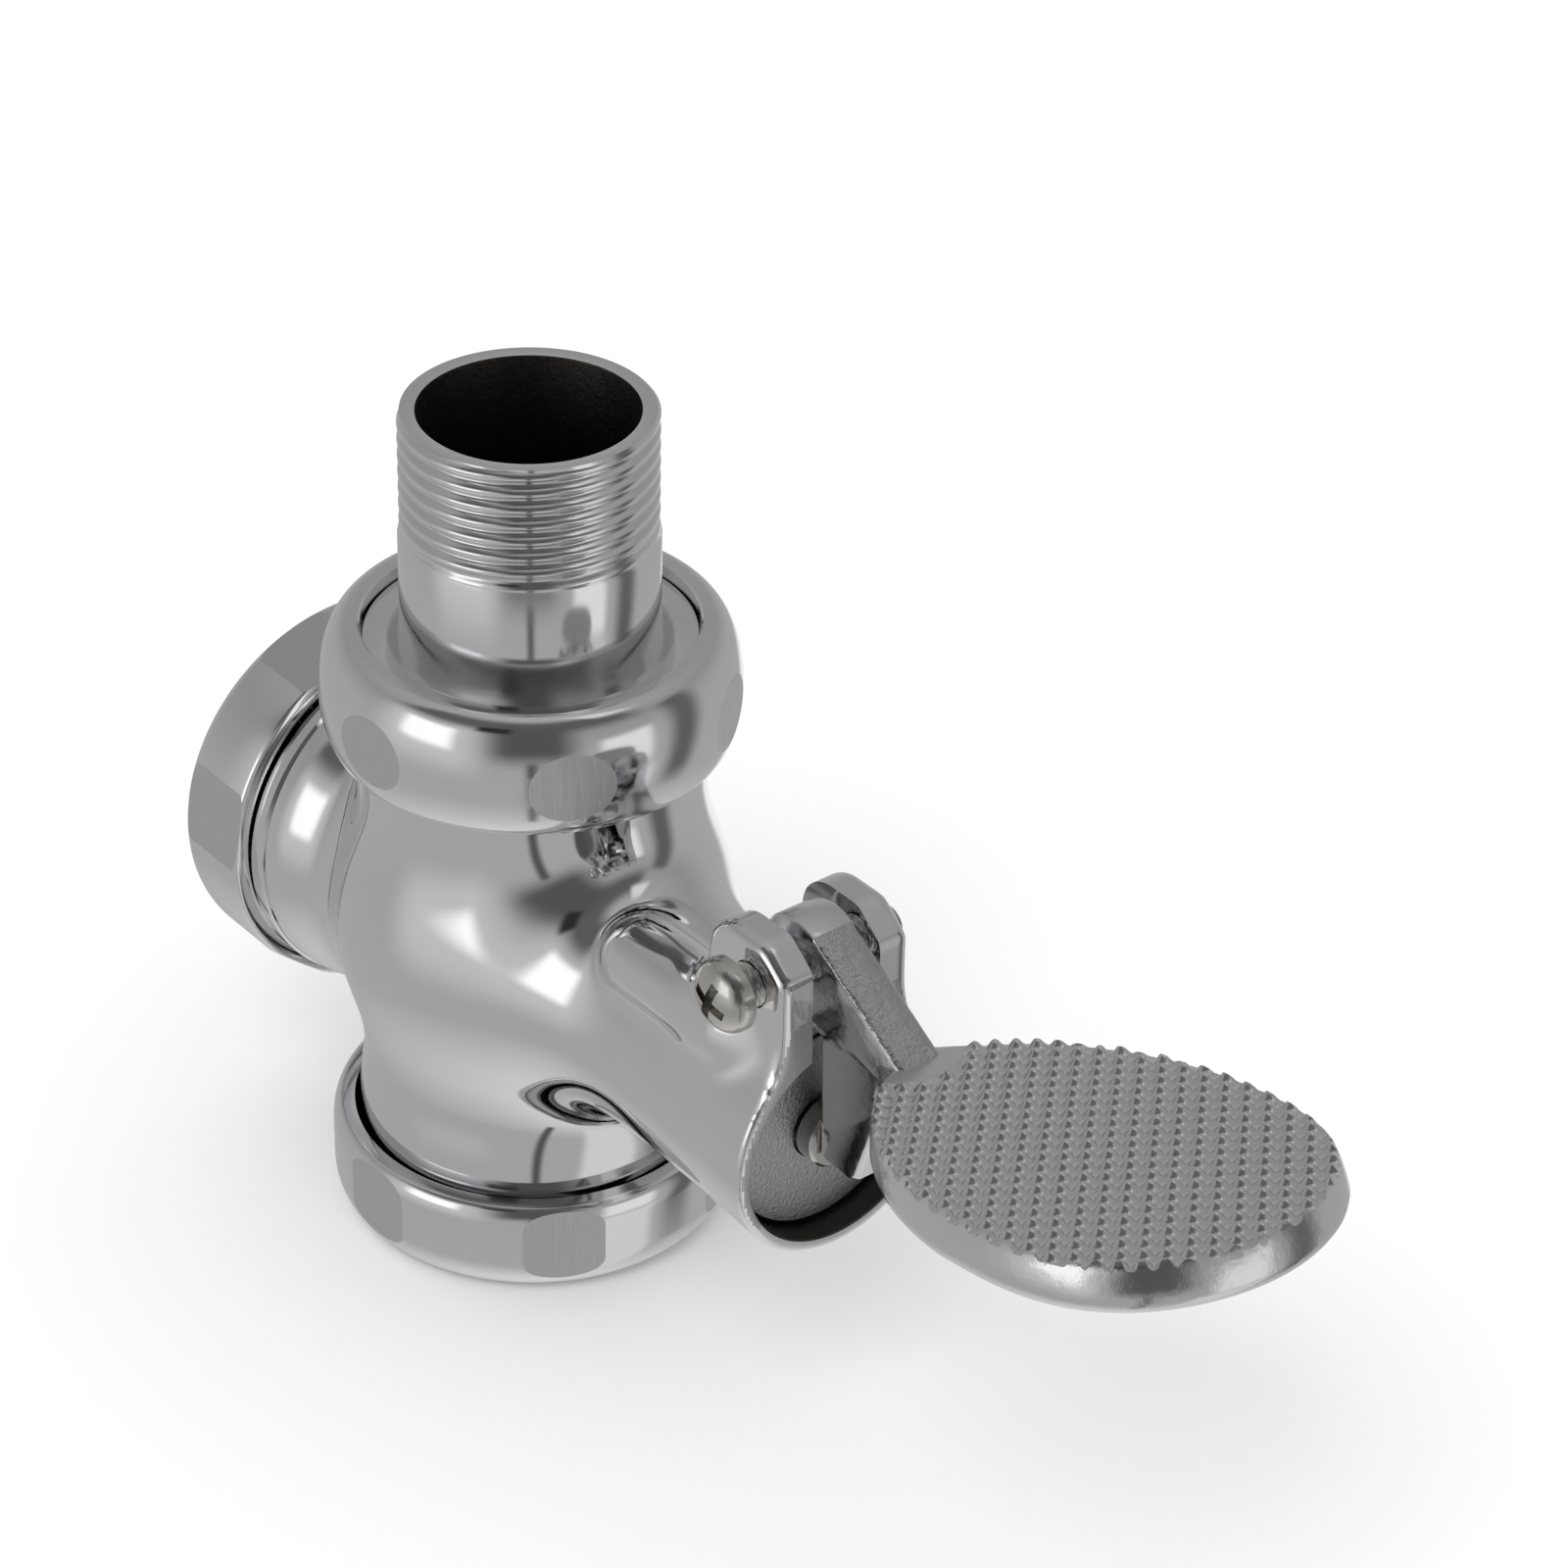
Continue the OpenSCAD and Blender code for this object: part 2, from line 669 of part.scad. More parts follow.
module disc_retainer() {
    color("goldenrod") along_x() spun([
        [spigot_r + face_gap, disc_front_x], [retainer_r, disc_front_x],
        [retainer_r, retainer_x - lead], [retainer_r - lead, retainer_x],
        [spigot_r + face_gap, retainer_x]
    ]);
}

module pilot_valve() {
    post_x = pilot_head_x - pilot_post_t;
    color("goldenrod") along_x() spun([
        [0, post_x], [pilot_post_r - edge, post_x], [pilot_post_r, post_x + edge],
        [pilot_post_r, pilot_head_x], [pilot_head_r, pilot_head_x], [pilot_head_r, pilot_seal_x],
        [pilot_stem_r, pilot_seal_x], [pilot_stem_r, pilot_tip_x - rod_end_chamfer],
        [pilot_stem_r - rod_end_chamfer, pilot_tip_x], [0, pilot_tip_x]
    ]);
}

module pilot_seal() {
    color("dimgray")
        ring_x(pilot_seal_x, pilot_front_x, pilot_stem_r + face_gap, pilot_head_r - edge);
}

module pilot_spring() {
    color("darkgray") along_x(cap_in_x + spring_gap)
        coil(pilot_coil_r, pilot_head_x - cap_in_x - 2 * spring_gap, pilot_turns, pilot_wire_r);
}

module rod_bush() {
    color("goldenrod") ring_x(bush_back_x, bush_x - face_gap, pin_r + run_clear, bush_r - face_gap);
}

module rod_seal() {
    color("dimgray") along_x(bush_x + seal_pocket / 2) rotate_extrude($fn = 96)
        translate([rod_ring_r, 0]) circle(r = rod_tube_r, $fn = 32);
}

module push_pin() {
    socket = pin_socket;
    color("lightgray") difference() {
        along_x() spun([
            [0, rod_end_x], [pin_r - rod_end_chamfer, rod_end_x], [pin_r, rod_end_x + rod_end_chamfer],
            [pin_r, pin_head_x], [pin_head_r, pin_head_x],
            [pin_head_r, pin_face_x - edge], [pin_head_r - edge, pin_face_x], [0, pin_face_x]
        ]);
        translate([pin_face_x - socket, -socket / 2, axis_z - socket / 2])
            cube([socket + over, socket, socket]);
    }
}

module pin_collar() {
    press = 0.02;
    color("darkgray")
        ring_x(pin_collar_x - collar_t, pin_collar_x, pin_r + press, bush_r - rod_end_chamfer);
}

module pin_spring() {
    color("darkgray") along_x(spring_seat_x + spring_gap)
        coil(pin_coil_r, pin_collar_x - collar_t - spring_seat_x - 2 * spring_gap, pin_turns, pin_wire_r);
}

// One comb of V grooves, which leaves ridges at 0 with valleys a stud's height below.
// Two crossed combs leave blunt four-sided studs.
module stud_comb(turn) {
    n = ceil(plate_len / stud_pitch / 2) + 2;
    teeth = [for (i = [-n:n])
        each [[i * stud_pitch, stud_blunt], [(i + 0.5) * stud_pitch, -stud_h]]];
    translate([plate_len / 2, 0, 0]) rotate([90, 0, turn])
        translate([0, 0, -plate_len]) linear_extrude(2 * plate_len)
            polygon(concat(teeth, [[(n + 0.5) * stud_pitch, over], [-n * stud_pitch, over]]));
}

// Foot plate in its own frame: X runs from its back edge to its tip, stud tops at 0.
// Each layer is [inset, bottom, top], so the side bulges between a rounded foot and its top edge.
module foot_plate() {
    bulge_z = -0.6 * plate_t;
    foot_inset = 0.9 * plate_bulge;
    layers = [
        [foot_inset, -plate_t, -plate_t + edge],
        [0, bulge_z - edge, bulge_z + edge],
        [plate_bulge * 0.4, bulge_z / 2 - edge, bulge_z / 2],
        [plate_bulge, -lead, 0]
    ];
    difference() {
        hull() for (layer = layers)
            translate([layer[0], 0, layer[1]]) linear_extrude(layer[2] - layer[1])
                polygon(egg(plate_len - 2 * layer[0], plate_w - 2 * layer[0], 60));
        stud_comb(45);
        stud_comb(-45);
    }
}

// Side view of the arm and its web: a top edge tangent to the hub, a web under the plate
// and a nose in front of the push pin
module arm_profile() {
    joint = [plate_back_x + arm_sink, plate_back_z - arm_drop];
    reach = norm(joint - [pivot_x, pivot_z]);
    touch = atan2(joint[1] - pivot_z, joint[0] - pivot_x) + acos(hub_r / reach);
    polygon([
        [pivot_x, pivot_z],
        [pivot_x + hub_r * cos(touch), pivot_z + hub_r * sin(touch)],
        joint,
        [joint[0], plate_back_z - plate_t + edge],
        [plate_back_x - web_back, plate_back_z - plate_t - web_drop],
        [nose_x + web_tip, nose_z + lead],
        [nose_x + web_tip - 2 * lead, nose_z],
        [nose_x, nose_z],
        [nose_x, nose_z + nose_h],
        [nose_x - edge, pivot_z - hub_r - heel],
        [pivot_x + edge, pivot_z - hub_r]
    ]);
}

// Arm and web, with the web's back edge rounded where it meets the pin
module arm() {
    intersection() {
        translate([0, arm_t / 2, 0]) rotate([90, 0, 0]) linear_extrude(arm_t) arm_profile();
        union() {
            rod_z(0, top_z, nose_r, nose_x + nose_r);
            translate([nose_x + nose_r, -arm_t / 2, 0]) cube([plate_len, arm_t, top_z]);
            translate([pivot_x - hub_r, -arm_t / 2, pivot_z - hub_r])
                cube([plate_len, arm_t, 2 * hub_r]);
        }
    }
}

module pedal() {
    color("darkgray") difference() {
        union() {
            pivot_rod(arm_t, hub_r);
            arm();
            translate([plate_back_x, 0, plate_back_z]) rotate([0, -plate_tilt, 0]) foot_plate();
        }
        pivot_rod(arm_t + 2 * over, screw_r + run_clear);
    }
}

// Pan-head screw across the ears, with a cross recess
module pivot_screw() {
    under = ear_out + screw_show;
    end = under + ear_out + screw_tip;
    rim_h = 1;
    recess_w = 0.9;
    recess_t = 1.3;
    recess_len = 1.1 * screw_head_r;
    translate([pivot_x, -under, pivot_z]) rotate([-90, 0, 0]) color("silver") difference() {
        spun(concat(
            [[0, end], [0, -screw_head_h]],
            arc(0, -rim_h, screw_head_r, screw_head_h - rim_h, -78, 0, 6),
            [[screw_head_r, 0], [screw_r, 0],
             [screw_r, end - rod_end_chamfer], [screw_r - rod_end_chamfer, end]]
        ));
        for (turn = [20, 110])
            rotate([0, 0, turn]) translate([-recess_len / 2, -recess_w / 2, -screw_head_h - over])
                cube([recess_len, recess_w, recess_t + over]);
    }
}

valve_body();
inlet_tailpiece();
inlet_union_nut();
inlet_washer();
outlet_nut();
outlet_slip_washer();
outlet_seal_ring();
back_cap();
cap_seal_ring();
return_spring();
piston();
piston_cup_seal();
seat_disc();
disc_retainer();
pilot_valve();
pilot_seal();
pilot_spring();
rod_bush();
rod_seal();
push_pin();
pin_collar();
pin_spring();
pedal();
pivot_screw();
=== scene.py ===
# %% [markdown]
# # A foot pedal flush valve, dressed for the camera
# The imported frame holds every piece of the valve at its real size. This lesson gives the pieces
# that show their real skin: a polished casting whose branches melt into each other, turned nuts,
# a real pipe thread, and a pedal with a studded foot plate. Each step says what the thing is on
# the real valve, how it could be made, and why this way was chosen. Sizes are in millimetres
# and turn into metres where a mesh is made.

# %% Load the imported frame
import math

import bmesh
import bpy
import numpy as np
from mathutils import Matrix, Vector


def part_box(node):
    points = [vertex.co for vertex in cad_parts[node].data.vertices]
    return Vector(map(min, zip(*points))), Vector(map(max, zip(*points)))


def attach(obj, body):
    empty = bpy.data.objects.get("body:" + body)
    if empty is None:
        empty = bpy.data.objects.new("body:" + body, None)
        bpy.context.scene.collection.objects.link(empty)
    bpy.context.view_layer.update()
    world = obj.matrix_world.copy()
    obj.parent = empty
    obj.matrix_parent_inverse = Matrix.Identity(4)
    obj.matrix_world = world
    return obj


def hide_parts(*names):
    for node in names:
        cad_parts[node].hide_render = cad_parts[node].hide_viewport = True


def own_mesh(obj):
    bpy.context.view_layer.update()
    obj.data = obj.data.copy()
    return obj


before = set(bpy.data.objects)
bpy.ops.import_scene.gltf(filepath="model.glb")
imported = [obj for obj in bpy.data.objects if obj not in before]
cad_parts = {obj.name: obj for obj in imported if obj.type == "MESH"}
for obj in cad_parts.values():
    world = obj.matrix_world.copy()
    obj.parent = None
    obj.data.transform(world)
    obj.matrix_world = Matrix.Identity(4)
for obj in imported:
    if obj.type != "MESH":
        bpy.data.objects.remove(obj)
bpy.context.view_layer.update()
MM = 0.001

# %% [markdown]
# Everything that a new piece has to meet is read from the frame, so the dressed pieces lie where
# the plain ones lie. A node's box gives its ends and radii without a table of numbers.

# %% Read the sizes that the frame gives
def box_mm(node):
    low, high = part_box(node)
    return low / MM, high / MM


def middle(node):
    low, high = box_mm(node)
    return (low + high) / 2


body_low, body_high = box_mm("valve_body")
pin_high = box_mm("push_pin")[1]
AXIS_Z = middle("push_pin").z
PIVOT_X = middle("pivot_screw").x
PIVOT_Z = middle("pivot_screw").z
MOUTH_X = body_high.x
BRANCH_X = body_low.x
NECK_LOW = body_low.z
NECK_TOP = body_high.z
print(f"axis at {AXIS_Z:.1f}, pivot at {PIVOT_X:.1f}, {PIVOT_Z:.1f}, mouth at {MOUTH_X:.1f} mm")

# %% [markdown]
# A photograph's angle is best kept as three things that a person can check: where the camera
# stands, which way it looks, and its lens. A long lens of 112.5 mm on a 36 mm sensor keeps the
# pipe line nearly upright, as in a product photograph. The last turn is the camera's slight roll.

# %% Set the camera
CAMERA_AT = Vector((349.5, -252.5, 327.1)) * MM
AZIMUTH = math.radians(50.66)
ELEVATION = math.radians(32.66)
ROLL = math.radians(1.34)

camera = bpy.data.objects.new("camera", bpy.data.cameras.new("camera"))
camera.data.sensor_width = 36
camera.data.lens = 112.5
turn = Matrix.Rotation(AZIMUTH, 4, "Z") @ Matrix.Rotation(math.pi / 2 - ELEVATION, 4, "X")
camera.matrix_world = Matrix.Translation(CAMERA_AT) @ turn @ Matrix.Rotation(ROLL, 4, "Z")
bpy.context.scene.collection.objects.link(camera)
bpy.context.scene.camera = camera
print("camera looks along", [round(x, 3) for x in -camera.matrix_world.col[2].xyz])

# %% [markdown]
# ## Helpers for materials
# A finish is a small graph of nodes. One helper adds a node, sets its options and fills or links
# its sockets, so that each finish below reads as a short list of what it is made of.

# %% Helpers for node graphs
def add(tree, kind, inputs=None, **options):
    made = tree.nodes.new(kind)
    for key, value in options.items():
        setattr(made, key, value)
    for key, value in (inputs or {}).items():
        if isinstance(value, bpy.types.NodeSocket):
            tree.links.new(value, made.inputs[key])
        else:
            made.inputs[key].default_value = value
    return made


def noise(tree, place, scale, detail=2.0, rough=0.5):
    made = add(tree, "ShaderNodeTexNoise", {
        "Vector": place, "Scale": scale, "Detail": detail, "Roughness": rough})
    return made.outputs["Fac"]


def spread(tree, value, low, high, to_low, to_high):
    made = add(tree, "ShaderNodeMapRange", {
        "Value": value, "From Min": low, "From Max": high, "To Min": to_low, "To Max": to_high})
    return made.outputs["Result"]


def stretched(tree, place, scale):
    return add(tree, "ShaderNodeMapping", {"Vector": place, "Scale": scale}).outputs["Vector"]


def bumped(tree, height, distance, strength=1.0, over=None):
    inputs = {"Height": height, "Distance": distance, "Strength": strength}
    if over is not None:
        inputs["Normal"] = over
    return add(tree, "ShaderNodeBump", inputs).outputs["Normal"]


def metal(name, colour, roughness):
    made = bpy.data.materials.new(name)
    made.use_nodes = True
    shader = made.node_tree.nodes["Principled BSDF"]
    shader.inputs["Base Color"].default_value = (*colour, 1)
    shader.inputs["Metallic"].default_value = 1
    shader.inputs["Roughness"].default_value = roughness
    place = made.node_tree.nodes.new("ShaderNodeTexCoord").outputs["Object"]
    return made, made.node_tree, shader, place


def wired(tree, shader, rough, bump):
    tree.links.new(rough, shader.inputs["Roughness"])
    tree.links.new(bump, shader.inputs["Normal"])


print("node helpers: add, noise, spread, stretched, bumped, metal, wired")

# %% [markdown]
# ## Finishes
# Chrome plate has almost no colour of its own: what shows is the room, a little blurred. Its
# life is in small faults. The polished casting has a soft ripple left by the mop, hair-fine
# scratches and a haze that comes and goes, so the bump and the roughness both get slow noise.

# %% Polished chrome of the casting
CHROME = (0.80, 0.80, 0.81)


def polished_chrome():
    made, tree, shader, place = metal("polished_chrome", CHROME, 0.05)
    haze = spread(tree, noise(tree, place, 90, 3), 0.35, 0.75, 0.035, 0.085)
    mop = bumped(tree, noise(tree, place, 160, 1), 0.02 * MM, 0.5)
    scratch = noise(tree, stretched(tree, place, (400, 1900, 1200)), 1, 2, 0.7)
    wired(tree, shader, haze, bumped(tree, scratch, 0.002 * MM, 0.35, mop))
    return made


polished = polished_chrome()
print("finish:", polished.name)

# %% [markdown]
# Nuts, cap and tailpiece are turned on a lathe and plated over the tool marks. Rings round the
# pipe line come from noise that is stretched along X and Y until only Z matters. A wrench flat is
# brushed one way with a belt, so its noise is drawn out along one line. The pedal and the mouth
# keep the skin of the sand mould under their plating: coarse grain with finer pits on top.

# %% Turned chrome, brushed flats and rough castings
TURNED_ROUGH = 0.09
RING_DEPTH = 0.004


def turned_chrome(name, along):
    made, tree, shader, place = metal(name, CHROME, TURNED_ROUGH)
    squeeze = [60, 60, 60]
    squeeze["XYZ".index(along)] = 7000
    rings = noise(tree, stretched(tree, place, squeeze), 1, 3, 0.65)
    haze = noise(tree, place, 140, 3)
    blur = spread(tree, haze, 0.3, 0.75, TURNED_ROUGH * 0.7, TURNED_ROUGH * 1.7)
    soft = bumped(tree, noise(tree, place, 220, 1), 0.015 * MM, 0.6)
    wired(tree, shader, blur, bumped(tree, rings, RING_DEPTH * MM, 0.5, soft))
    return made


def brushed_flat(name, along, colour=(0.66, 0.66, 0.67)):
    made, tree, shader, place = metal(name, colour, 0.3)
    squeeze = [2600, 2600, 2600]
    squeeze["XYZ".index(along)] = 170
    strokes = noise(tree, stretched(tree, place, squeeze), 1, 4, 0.7)
    blur = spread(tree, strokes, 0.3, 0.7, 0.22, 0.42)
    wired(tree, shader, blur, bumped(tree, strokes, 0.03 * MM, 0.8))
    return made


def cast_skin(name, colour, rough, grain, depth):
    made, tree, shader, place = metal(name, colour, rough)
    sand = noise(tree, place, grain, 4, 0.65)
    pits = noise(tree, place, grain * 3.1, 2, 0.5)
    blur = spread(tree, pits, 0.3, 0.7, rough * 0.8, rough * 1.25)
    soft = bumped(tree, sand, depth * MM, 1)
    wired(tree, shader, blur, bumped(tree, pits, depth * 0.25 * MM, 0.7, soft))
    return made


turned_z = turned_chrome("turned_chrome_upright", "Z")
turned_x = turned_chrome("turned_chrome_cap", "X")
flat_z = brushed_flat("brushed_nut_flat", "Z")
flat_x = brushed_flat("brushed_cap_flat", "X")
satin_cast = cast_skin("satin_cast_plate", (0.74, 0.74, 0.75), 0.19, 900, 0.02)
cast_wall = cast_skin("cast_wall", (0.76, 0.76, 0.77), 0.16, 420, 0.05)
rough_cast = cast_skin("rough_cast_face", (0.50, 0.50, 0.50), 0.34, 2300, 0.14)
cast_arm = cast_skin("rough_cast_arm", (0.54, 0.54, 0.54), 0.26, 620, 0.34)
filed = brushed_flat("filed_front", "Z", (0.48, 0.48, 0.48))
# Painted shade: a near-black colour stands in for the shade inside the mouth's recess and the
# tailpiece's bore.
painted_shade_bore = cast_skin("painted_shade_bore_wall", (0.10, 0.095, 0.09), 0.45, 1200, 0.08)
print("finishes:", [m.name for m in (turned_z, turned_x, flat_z, flat_x, satin_cast, cast_wall,
                                   rough_cast, cast_arm, filed, painted_shade_bore)])

# %% [markdown]
# ## Helpers for shapes
# Almost every part of a valve is turned, so it starts as half of its section: a short list of
# radius and height, spun round the pipe line. Points that meet, at the poles and where the spin
# closes, are merged, and the faces are turned outwards before anything else is done.

# %% Helpers for turned shapes
SPIN_STEPS = 128
JOIN_WITHIN = 0.002


def spun(profile, steps=SPIN_STEPS):
    bm = bmesh.new()
    verts = [bm.verts.new((r * MM, 0, h * MM)) for r, h in profile]
    edges = [bm.edges.new(pair) for pair in zip(verts, verts[1:] + verts[:1])]
    bmesh.ops.spin(bm, geom=verts + edges, cent=(0, 0, 0), axis=(0, 0, 1), dvec=(0, 0, 0),
                   angle=2 * math.pi, steps=steps, use_merge=True, use_duplicate=False)
    bmesh.ops.remove_doubles(bm, verts=bm.verts, dist=JOIN_WITHIN * MM)
    return outward(bm)


def outward(bm):
    bmesh.ops.recalc_face_normals(bm, faces=bm.faces)
    return bm


def arc(cx, cz, rx, rz, start, end, steps):
    turns = [math.radians(start + (end - start) * i / steps) for i in range(steps + 1)]
    return [(cx + rx * math.cos(a), cz + rz * math.sin(a)) for a in turns]


def laid_along_x(bm):
    turn = Matrix.Translation((0, 0, AXIS_Z * MM)) @ Matrix.Rotation(math.pi / 2, 4, "Y")
    bmesh.ops.transform(bm, matrix=turn, verts=bm.verts)
    return bm


print("turning helpers: spun, outward, arc, laid_along_x")

# %% [markdown]
# A bmesh becomes an object at the origin, with its faces shaded smooth and its corners marked
# sharp. Modifiers are put on one at a time and settled into the mesh at once, so that the next
# step works on what they made. Dressing hands the finished piece to the frame: the body it rides
# on, and the imported nodes it stands for, which are hidden.

# %% Helpers that make and dress a piece
def piece(name, bm, *materials, sharp=32):
    for face in bm.faces:
        face.smooth = True
    limit = math.radians(sharp)
    for edge in bm.edges:
        if edge.calc_face_angle(0) > limit:
            edge.smooth = False
    mesh = bpy.data.meshes.new(name)
    bm.to_mesh(mesh)
    bm.free()
    for material in materials:
        mesh.materials.append(material)
    made = bpy.data.objects.new(name, mesh)
    bpy.context.scene.collection.objects.link(made)
    return made


def modified(thing, kind, **options):
    made = thing.modifiers.new(kind.lower(), kind)
    for key, value in options.items():
        setattr(made, key, value)
    return made


def settled(thing):
    bpy.context.view_layer.update()
    shape = thing.evaluated_get(bpy.context.evaluated_depsgraph_get())
    mesh = bpy.data.meshes.new_from_object(shape)
    thing.modifiers.clear()
    thing.data = mesh
    return thing


def triangles(thing):
    thing.data.calc_loop_triangles()
    return len(thing.data.loop_triangles)


def dress(thing, body, slot, *nodes):
    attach(thing, body)
    if nodes:
        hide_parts(*nodes)
    print(f"{thing.name}: {triangles(thing)} triangles, rides on {body}")
    return thing


print("piece helpers: piece, modified, settled, triangles, dress")

# %% [markdown]
# ## The casting
# The body is one polished casting. Its necks, back branch and horn melt into a round belly, and
# two ears and a small boss grow out of the horn. Joined cylinders would show hard seams, and
# bevels can't run round such corners. So the forms are first put together as plain solids and
# remeshed into one even skin, and then each point of the skin slides onto a smooth blend of the
# same forms. The blend is a formula: a distance to each form, joined by a soft minimum whose
# width is the size of the fillet.

# %% The forms of the casting
BELLY_R = 21.0
NECK_R = 18.2
FLARE_TOP = 20.0
FLARE_LOW = 13.0
FLARE_OUT = 0.7
BRANCH_R = 19.25
DIP_FROM = -21.5
DIP_TO = -14.5
DIP = 1.6
SHOULDER_R = 19.6
SHOULDER_X = -24.6
SHOULDER_W = 2.2
CAP_THREAD_R = 18.2
WAIST_R = 12.4
WAIST_X = 28.0
HORN_R = (MOUTH_X - PIVOT_X) + 7.9
EAR_IN = 4.2
EAR_OUT = 8.0
EAR_REAR_X = PIVOT_X - 7.2
EAR_TOP_Z = PIVOT_Z + 5.0
EAR_ROUND = 0.9
EAR_REAR_ROUND = 4.4
EAR_SLOPE = (0.62, 0.78)
EAR_SLOPE_AT = (MOUTH_X - 2.6, EAR_TOP_Z - 0.9)
SLOT_FLOOR_Z = AXIS_Z + 12.4
BOSS_R = 4.3
BOSS_Y = -6.2
BOSS_Z = AXIS_Z + 11.2
BOSS_X = (27.5, 42.8)
FACE_X = MOUTH_X - 3.2
print(f"horn opens from {WAIST_R:.1f} to {HORN_R:.1f} mm, its recess reaches {FACE_X:.1f}")

# %% [markdown]
# Three small formulas do the joining. A soft minimum melts two distances into one over a width,
# its mirror image cuts softly, and a rounded corner turns two straight limits into one with a
# radius. A fade goes from nothing to one between two places, without a kink at either end.

# %% Formulas that join distances
def smooth_min(a, b, width):
    part = np.maximum(width - np.abs(a - b), 0) / width
    return np.minimum(a, b) - part ** 3 * width / 6


def smooth_max(a, b, width):
    return -smooth_min(-a, -b, width)


def rounded(across, along, edge):
    a = across + edge
    b = along + edge
    return np.minimum(np.maximum(a, b), 0) + np.hypot(np.maximum(a, 0), np.maximum(b, 0)) - edge


def faded(value, start, end):
    t = np.clip((value - start) / (end - start), 0, 1)
    return t * t * (3 - 2 * t)


print("soft minimum of 1 and 1 over a width of 3:", smooth_min(1.0, 1.0, 3.0))

# %% [markdown]
# Each form is a distance: less than nothing inside, more outside. The two ears start as one
# rounded block, cut off by a slope in front of its top. The back branch has a slight waist, so
# that a crisp crease shows where it meets the belly. The lower neck widens to fill its nut. The
# last soft cut is the mill that faces the horn's mouth and the ears flat, in one plane.

# %% The casting as one blended distance
FILLET = {"neck": 5.0, "branch": 3.0, "horn": 13.0, "boss": 3.2, "ear": 6.5}
EDGE = {"neck": 0.5, "branch": 0.3, "horn": 0.7, "slope": 0.8, "mouth": 0.9, "ear": 1.3}


def horn_radius(x):
    t = np.clip((x - WAIST_X) / (MOUTH_X - WAIST_X), 0, 1)
    return WAIST_R + (HORN_R - WAIST_R) * t * t


def branch_radius(x):
    return BRANCH_R - DIP * faded(x, DIP_FROM, DIP_TO)


def neck_radius(z):
    return NECK_R + FLARE_OUT * faded(z, FLARE_TOP, FLARE_LOW)


def ear_distance(x, y, z):
    mid_x = (EAR_REAR_X + MOUTH_X) / 2
    half_x = (MOUTH_X - EAR_REAR_X) / 2
    mid_z = (EAR_TOP_Z + AXIS_Z) / 2
    half_z = (EAR_TOP_Z - AXIS_Z) / 2
    corner = np.where((x < mid_x) & (z > mid_z), EAR_REAR_ROUND, EAR_ROUND)
    side = rounded(np.abs(x - mid_x) - half_x, np.abs(z - mid_z) - half_z, corner)
    slope = (x - EAR_SLOPE_AT[0]) * EAR_SLOPE[0] + (z - EAR_SLOPE_AT[1]) * EAR_SLOPE[1]
    side = smooth_max(side, slope, EDGE["slope"])
    return rounded(side, np.abs(y) - EAR_OUT, EDGE["ear"])


def casting_distance(p):
    x, y, z = p[:, 0], p[:, 1], p[:, 2]
    up = z - AXIS_Z
    round_x = np.hypot(y, up)
    belly = np.sqrt(x * x + y * y + up * up) - BELLY_R
    neck = rounded(np.hypot(x, y) - neck_radius(z), np.abs(z - (NECK_TOP + NECK_LOW) / 2)
                   - (NECK_TOP - NECK_LOW) / 2, EDGE["neck"])
    branch = rounded(round_x - branch_radius(x), np.maximum(SHOULDER_X - x, x), EDGE["branch"])
    horn = rounded(round_x - horn_radius(x), np.maximum(x - MOUTH_X, -x), EDGE["horn"])
    boss_x = np.clip(x, *BOSS_X)
    boss = np.sqrt((x - boss_x) ** 2 + (y - BOSS_Y) ** 2 + (z - BOSS_Z) ** 2) - BOSS_R
    skin = smooth_min(belly, neck, FILLET["neck"])
    skin = smooth_min(skin, branch, FILLET["branch"])
    skin = smooth_min(skin, horn, FILLET["horn"])
    skin = smooth_min(skin, boss, FILLET["boss"])
    skin = smooth_min(skin, ear_distance(x, y, z), FILLET["ear"])
    return smooth_max(skin, x - MOUTH_X, EDGE["mouth"])


print("fillets:", FILLET)

# %% [markdown]
# The plain solids come from the cone, sphere and cube operators. They overlap, and the voxel
# remesh turns them into one closed skin of even squares, which is what the sliding needs.

# %% Rough out the casting and remesh it
SIDES = 96
VOXEL = 0.38


def cylinder(bm, radius, start, end, along="Z", top=None):
    turn = Matrix.Rotation(math.pi / 2, 4, "Y") if along == "X" else Matrix()
    shift = Matrix.Translation((0, 0, (start + end) / 2 * MM))
    place = Matrix.Translation((0, 0, AXIS_Z * MM)) @ turn if along == "X" else turn
    bmesh.ops.create_cone(bm, cap_ends=True, segments=SIDES, radius1=radius * MM,
                          radius2=(radius if top is None else top) * MM,
                          depth=(end - start) * MM, matrix=place @ shift)


def block(bm, low, high):
    low = Vector(low)
    high = Vector(high)
    size = Matrix.Diagonal((*(high - low) * MM, 1))
    bmesh.ops.create_cube(bm, size=1, matrix=Matrix.Translation((low + high) / 2 * MM) @ size)


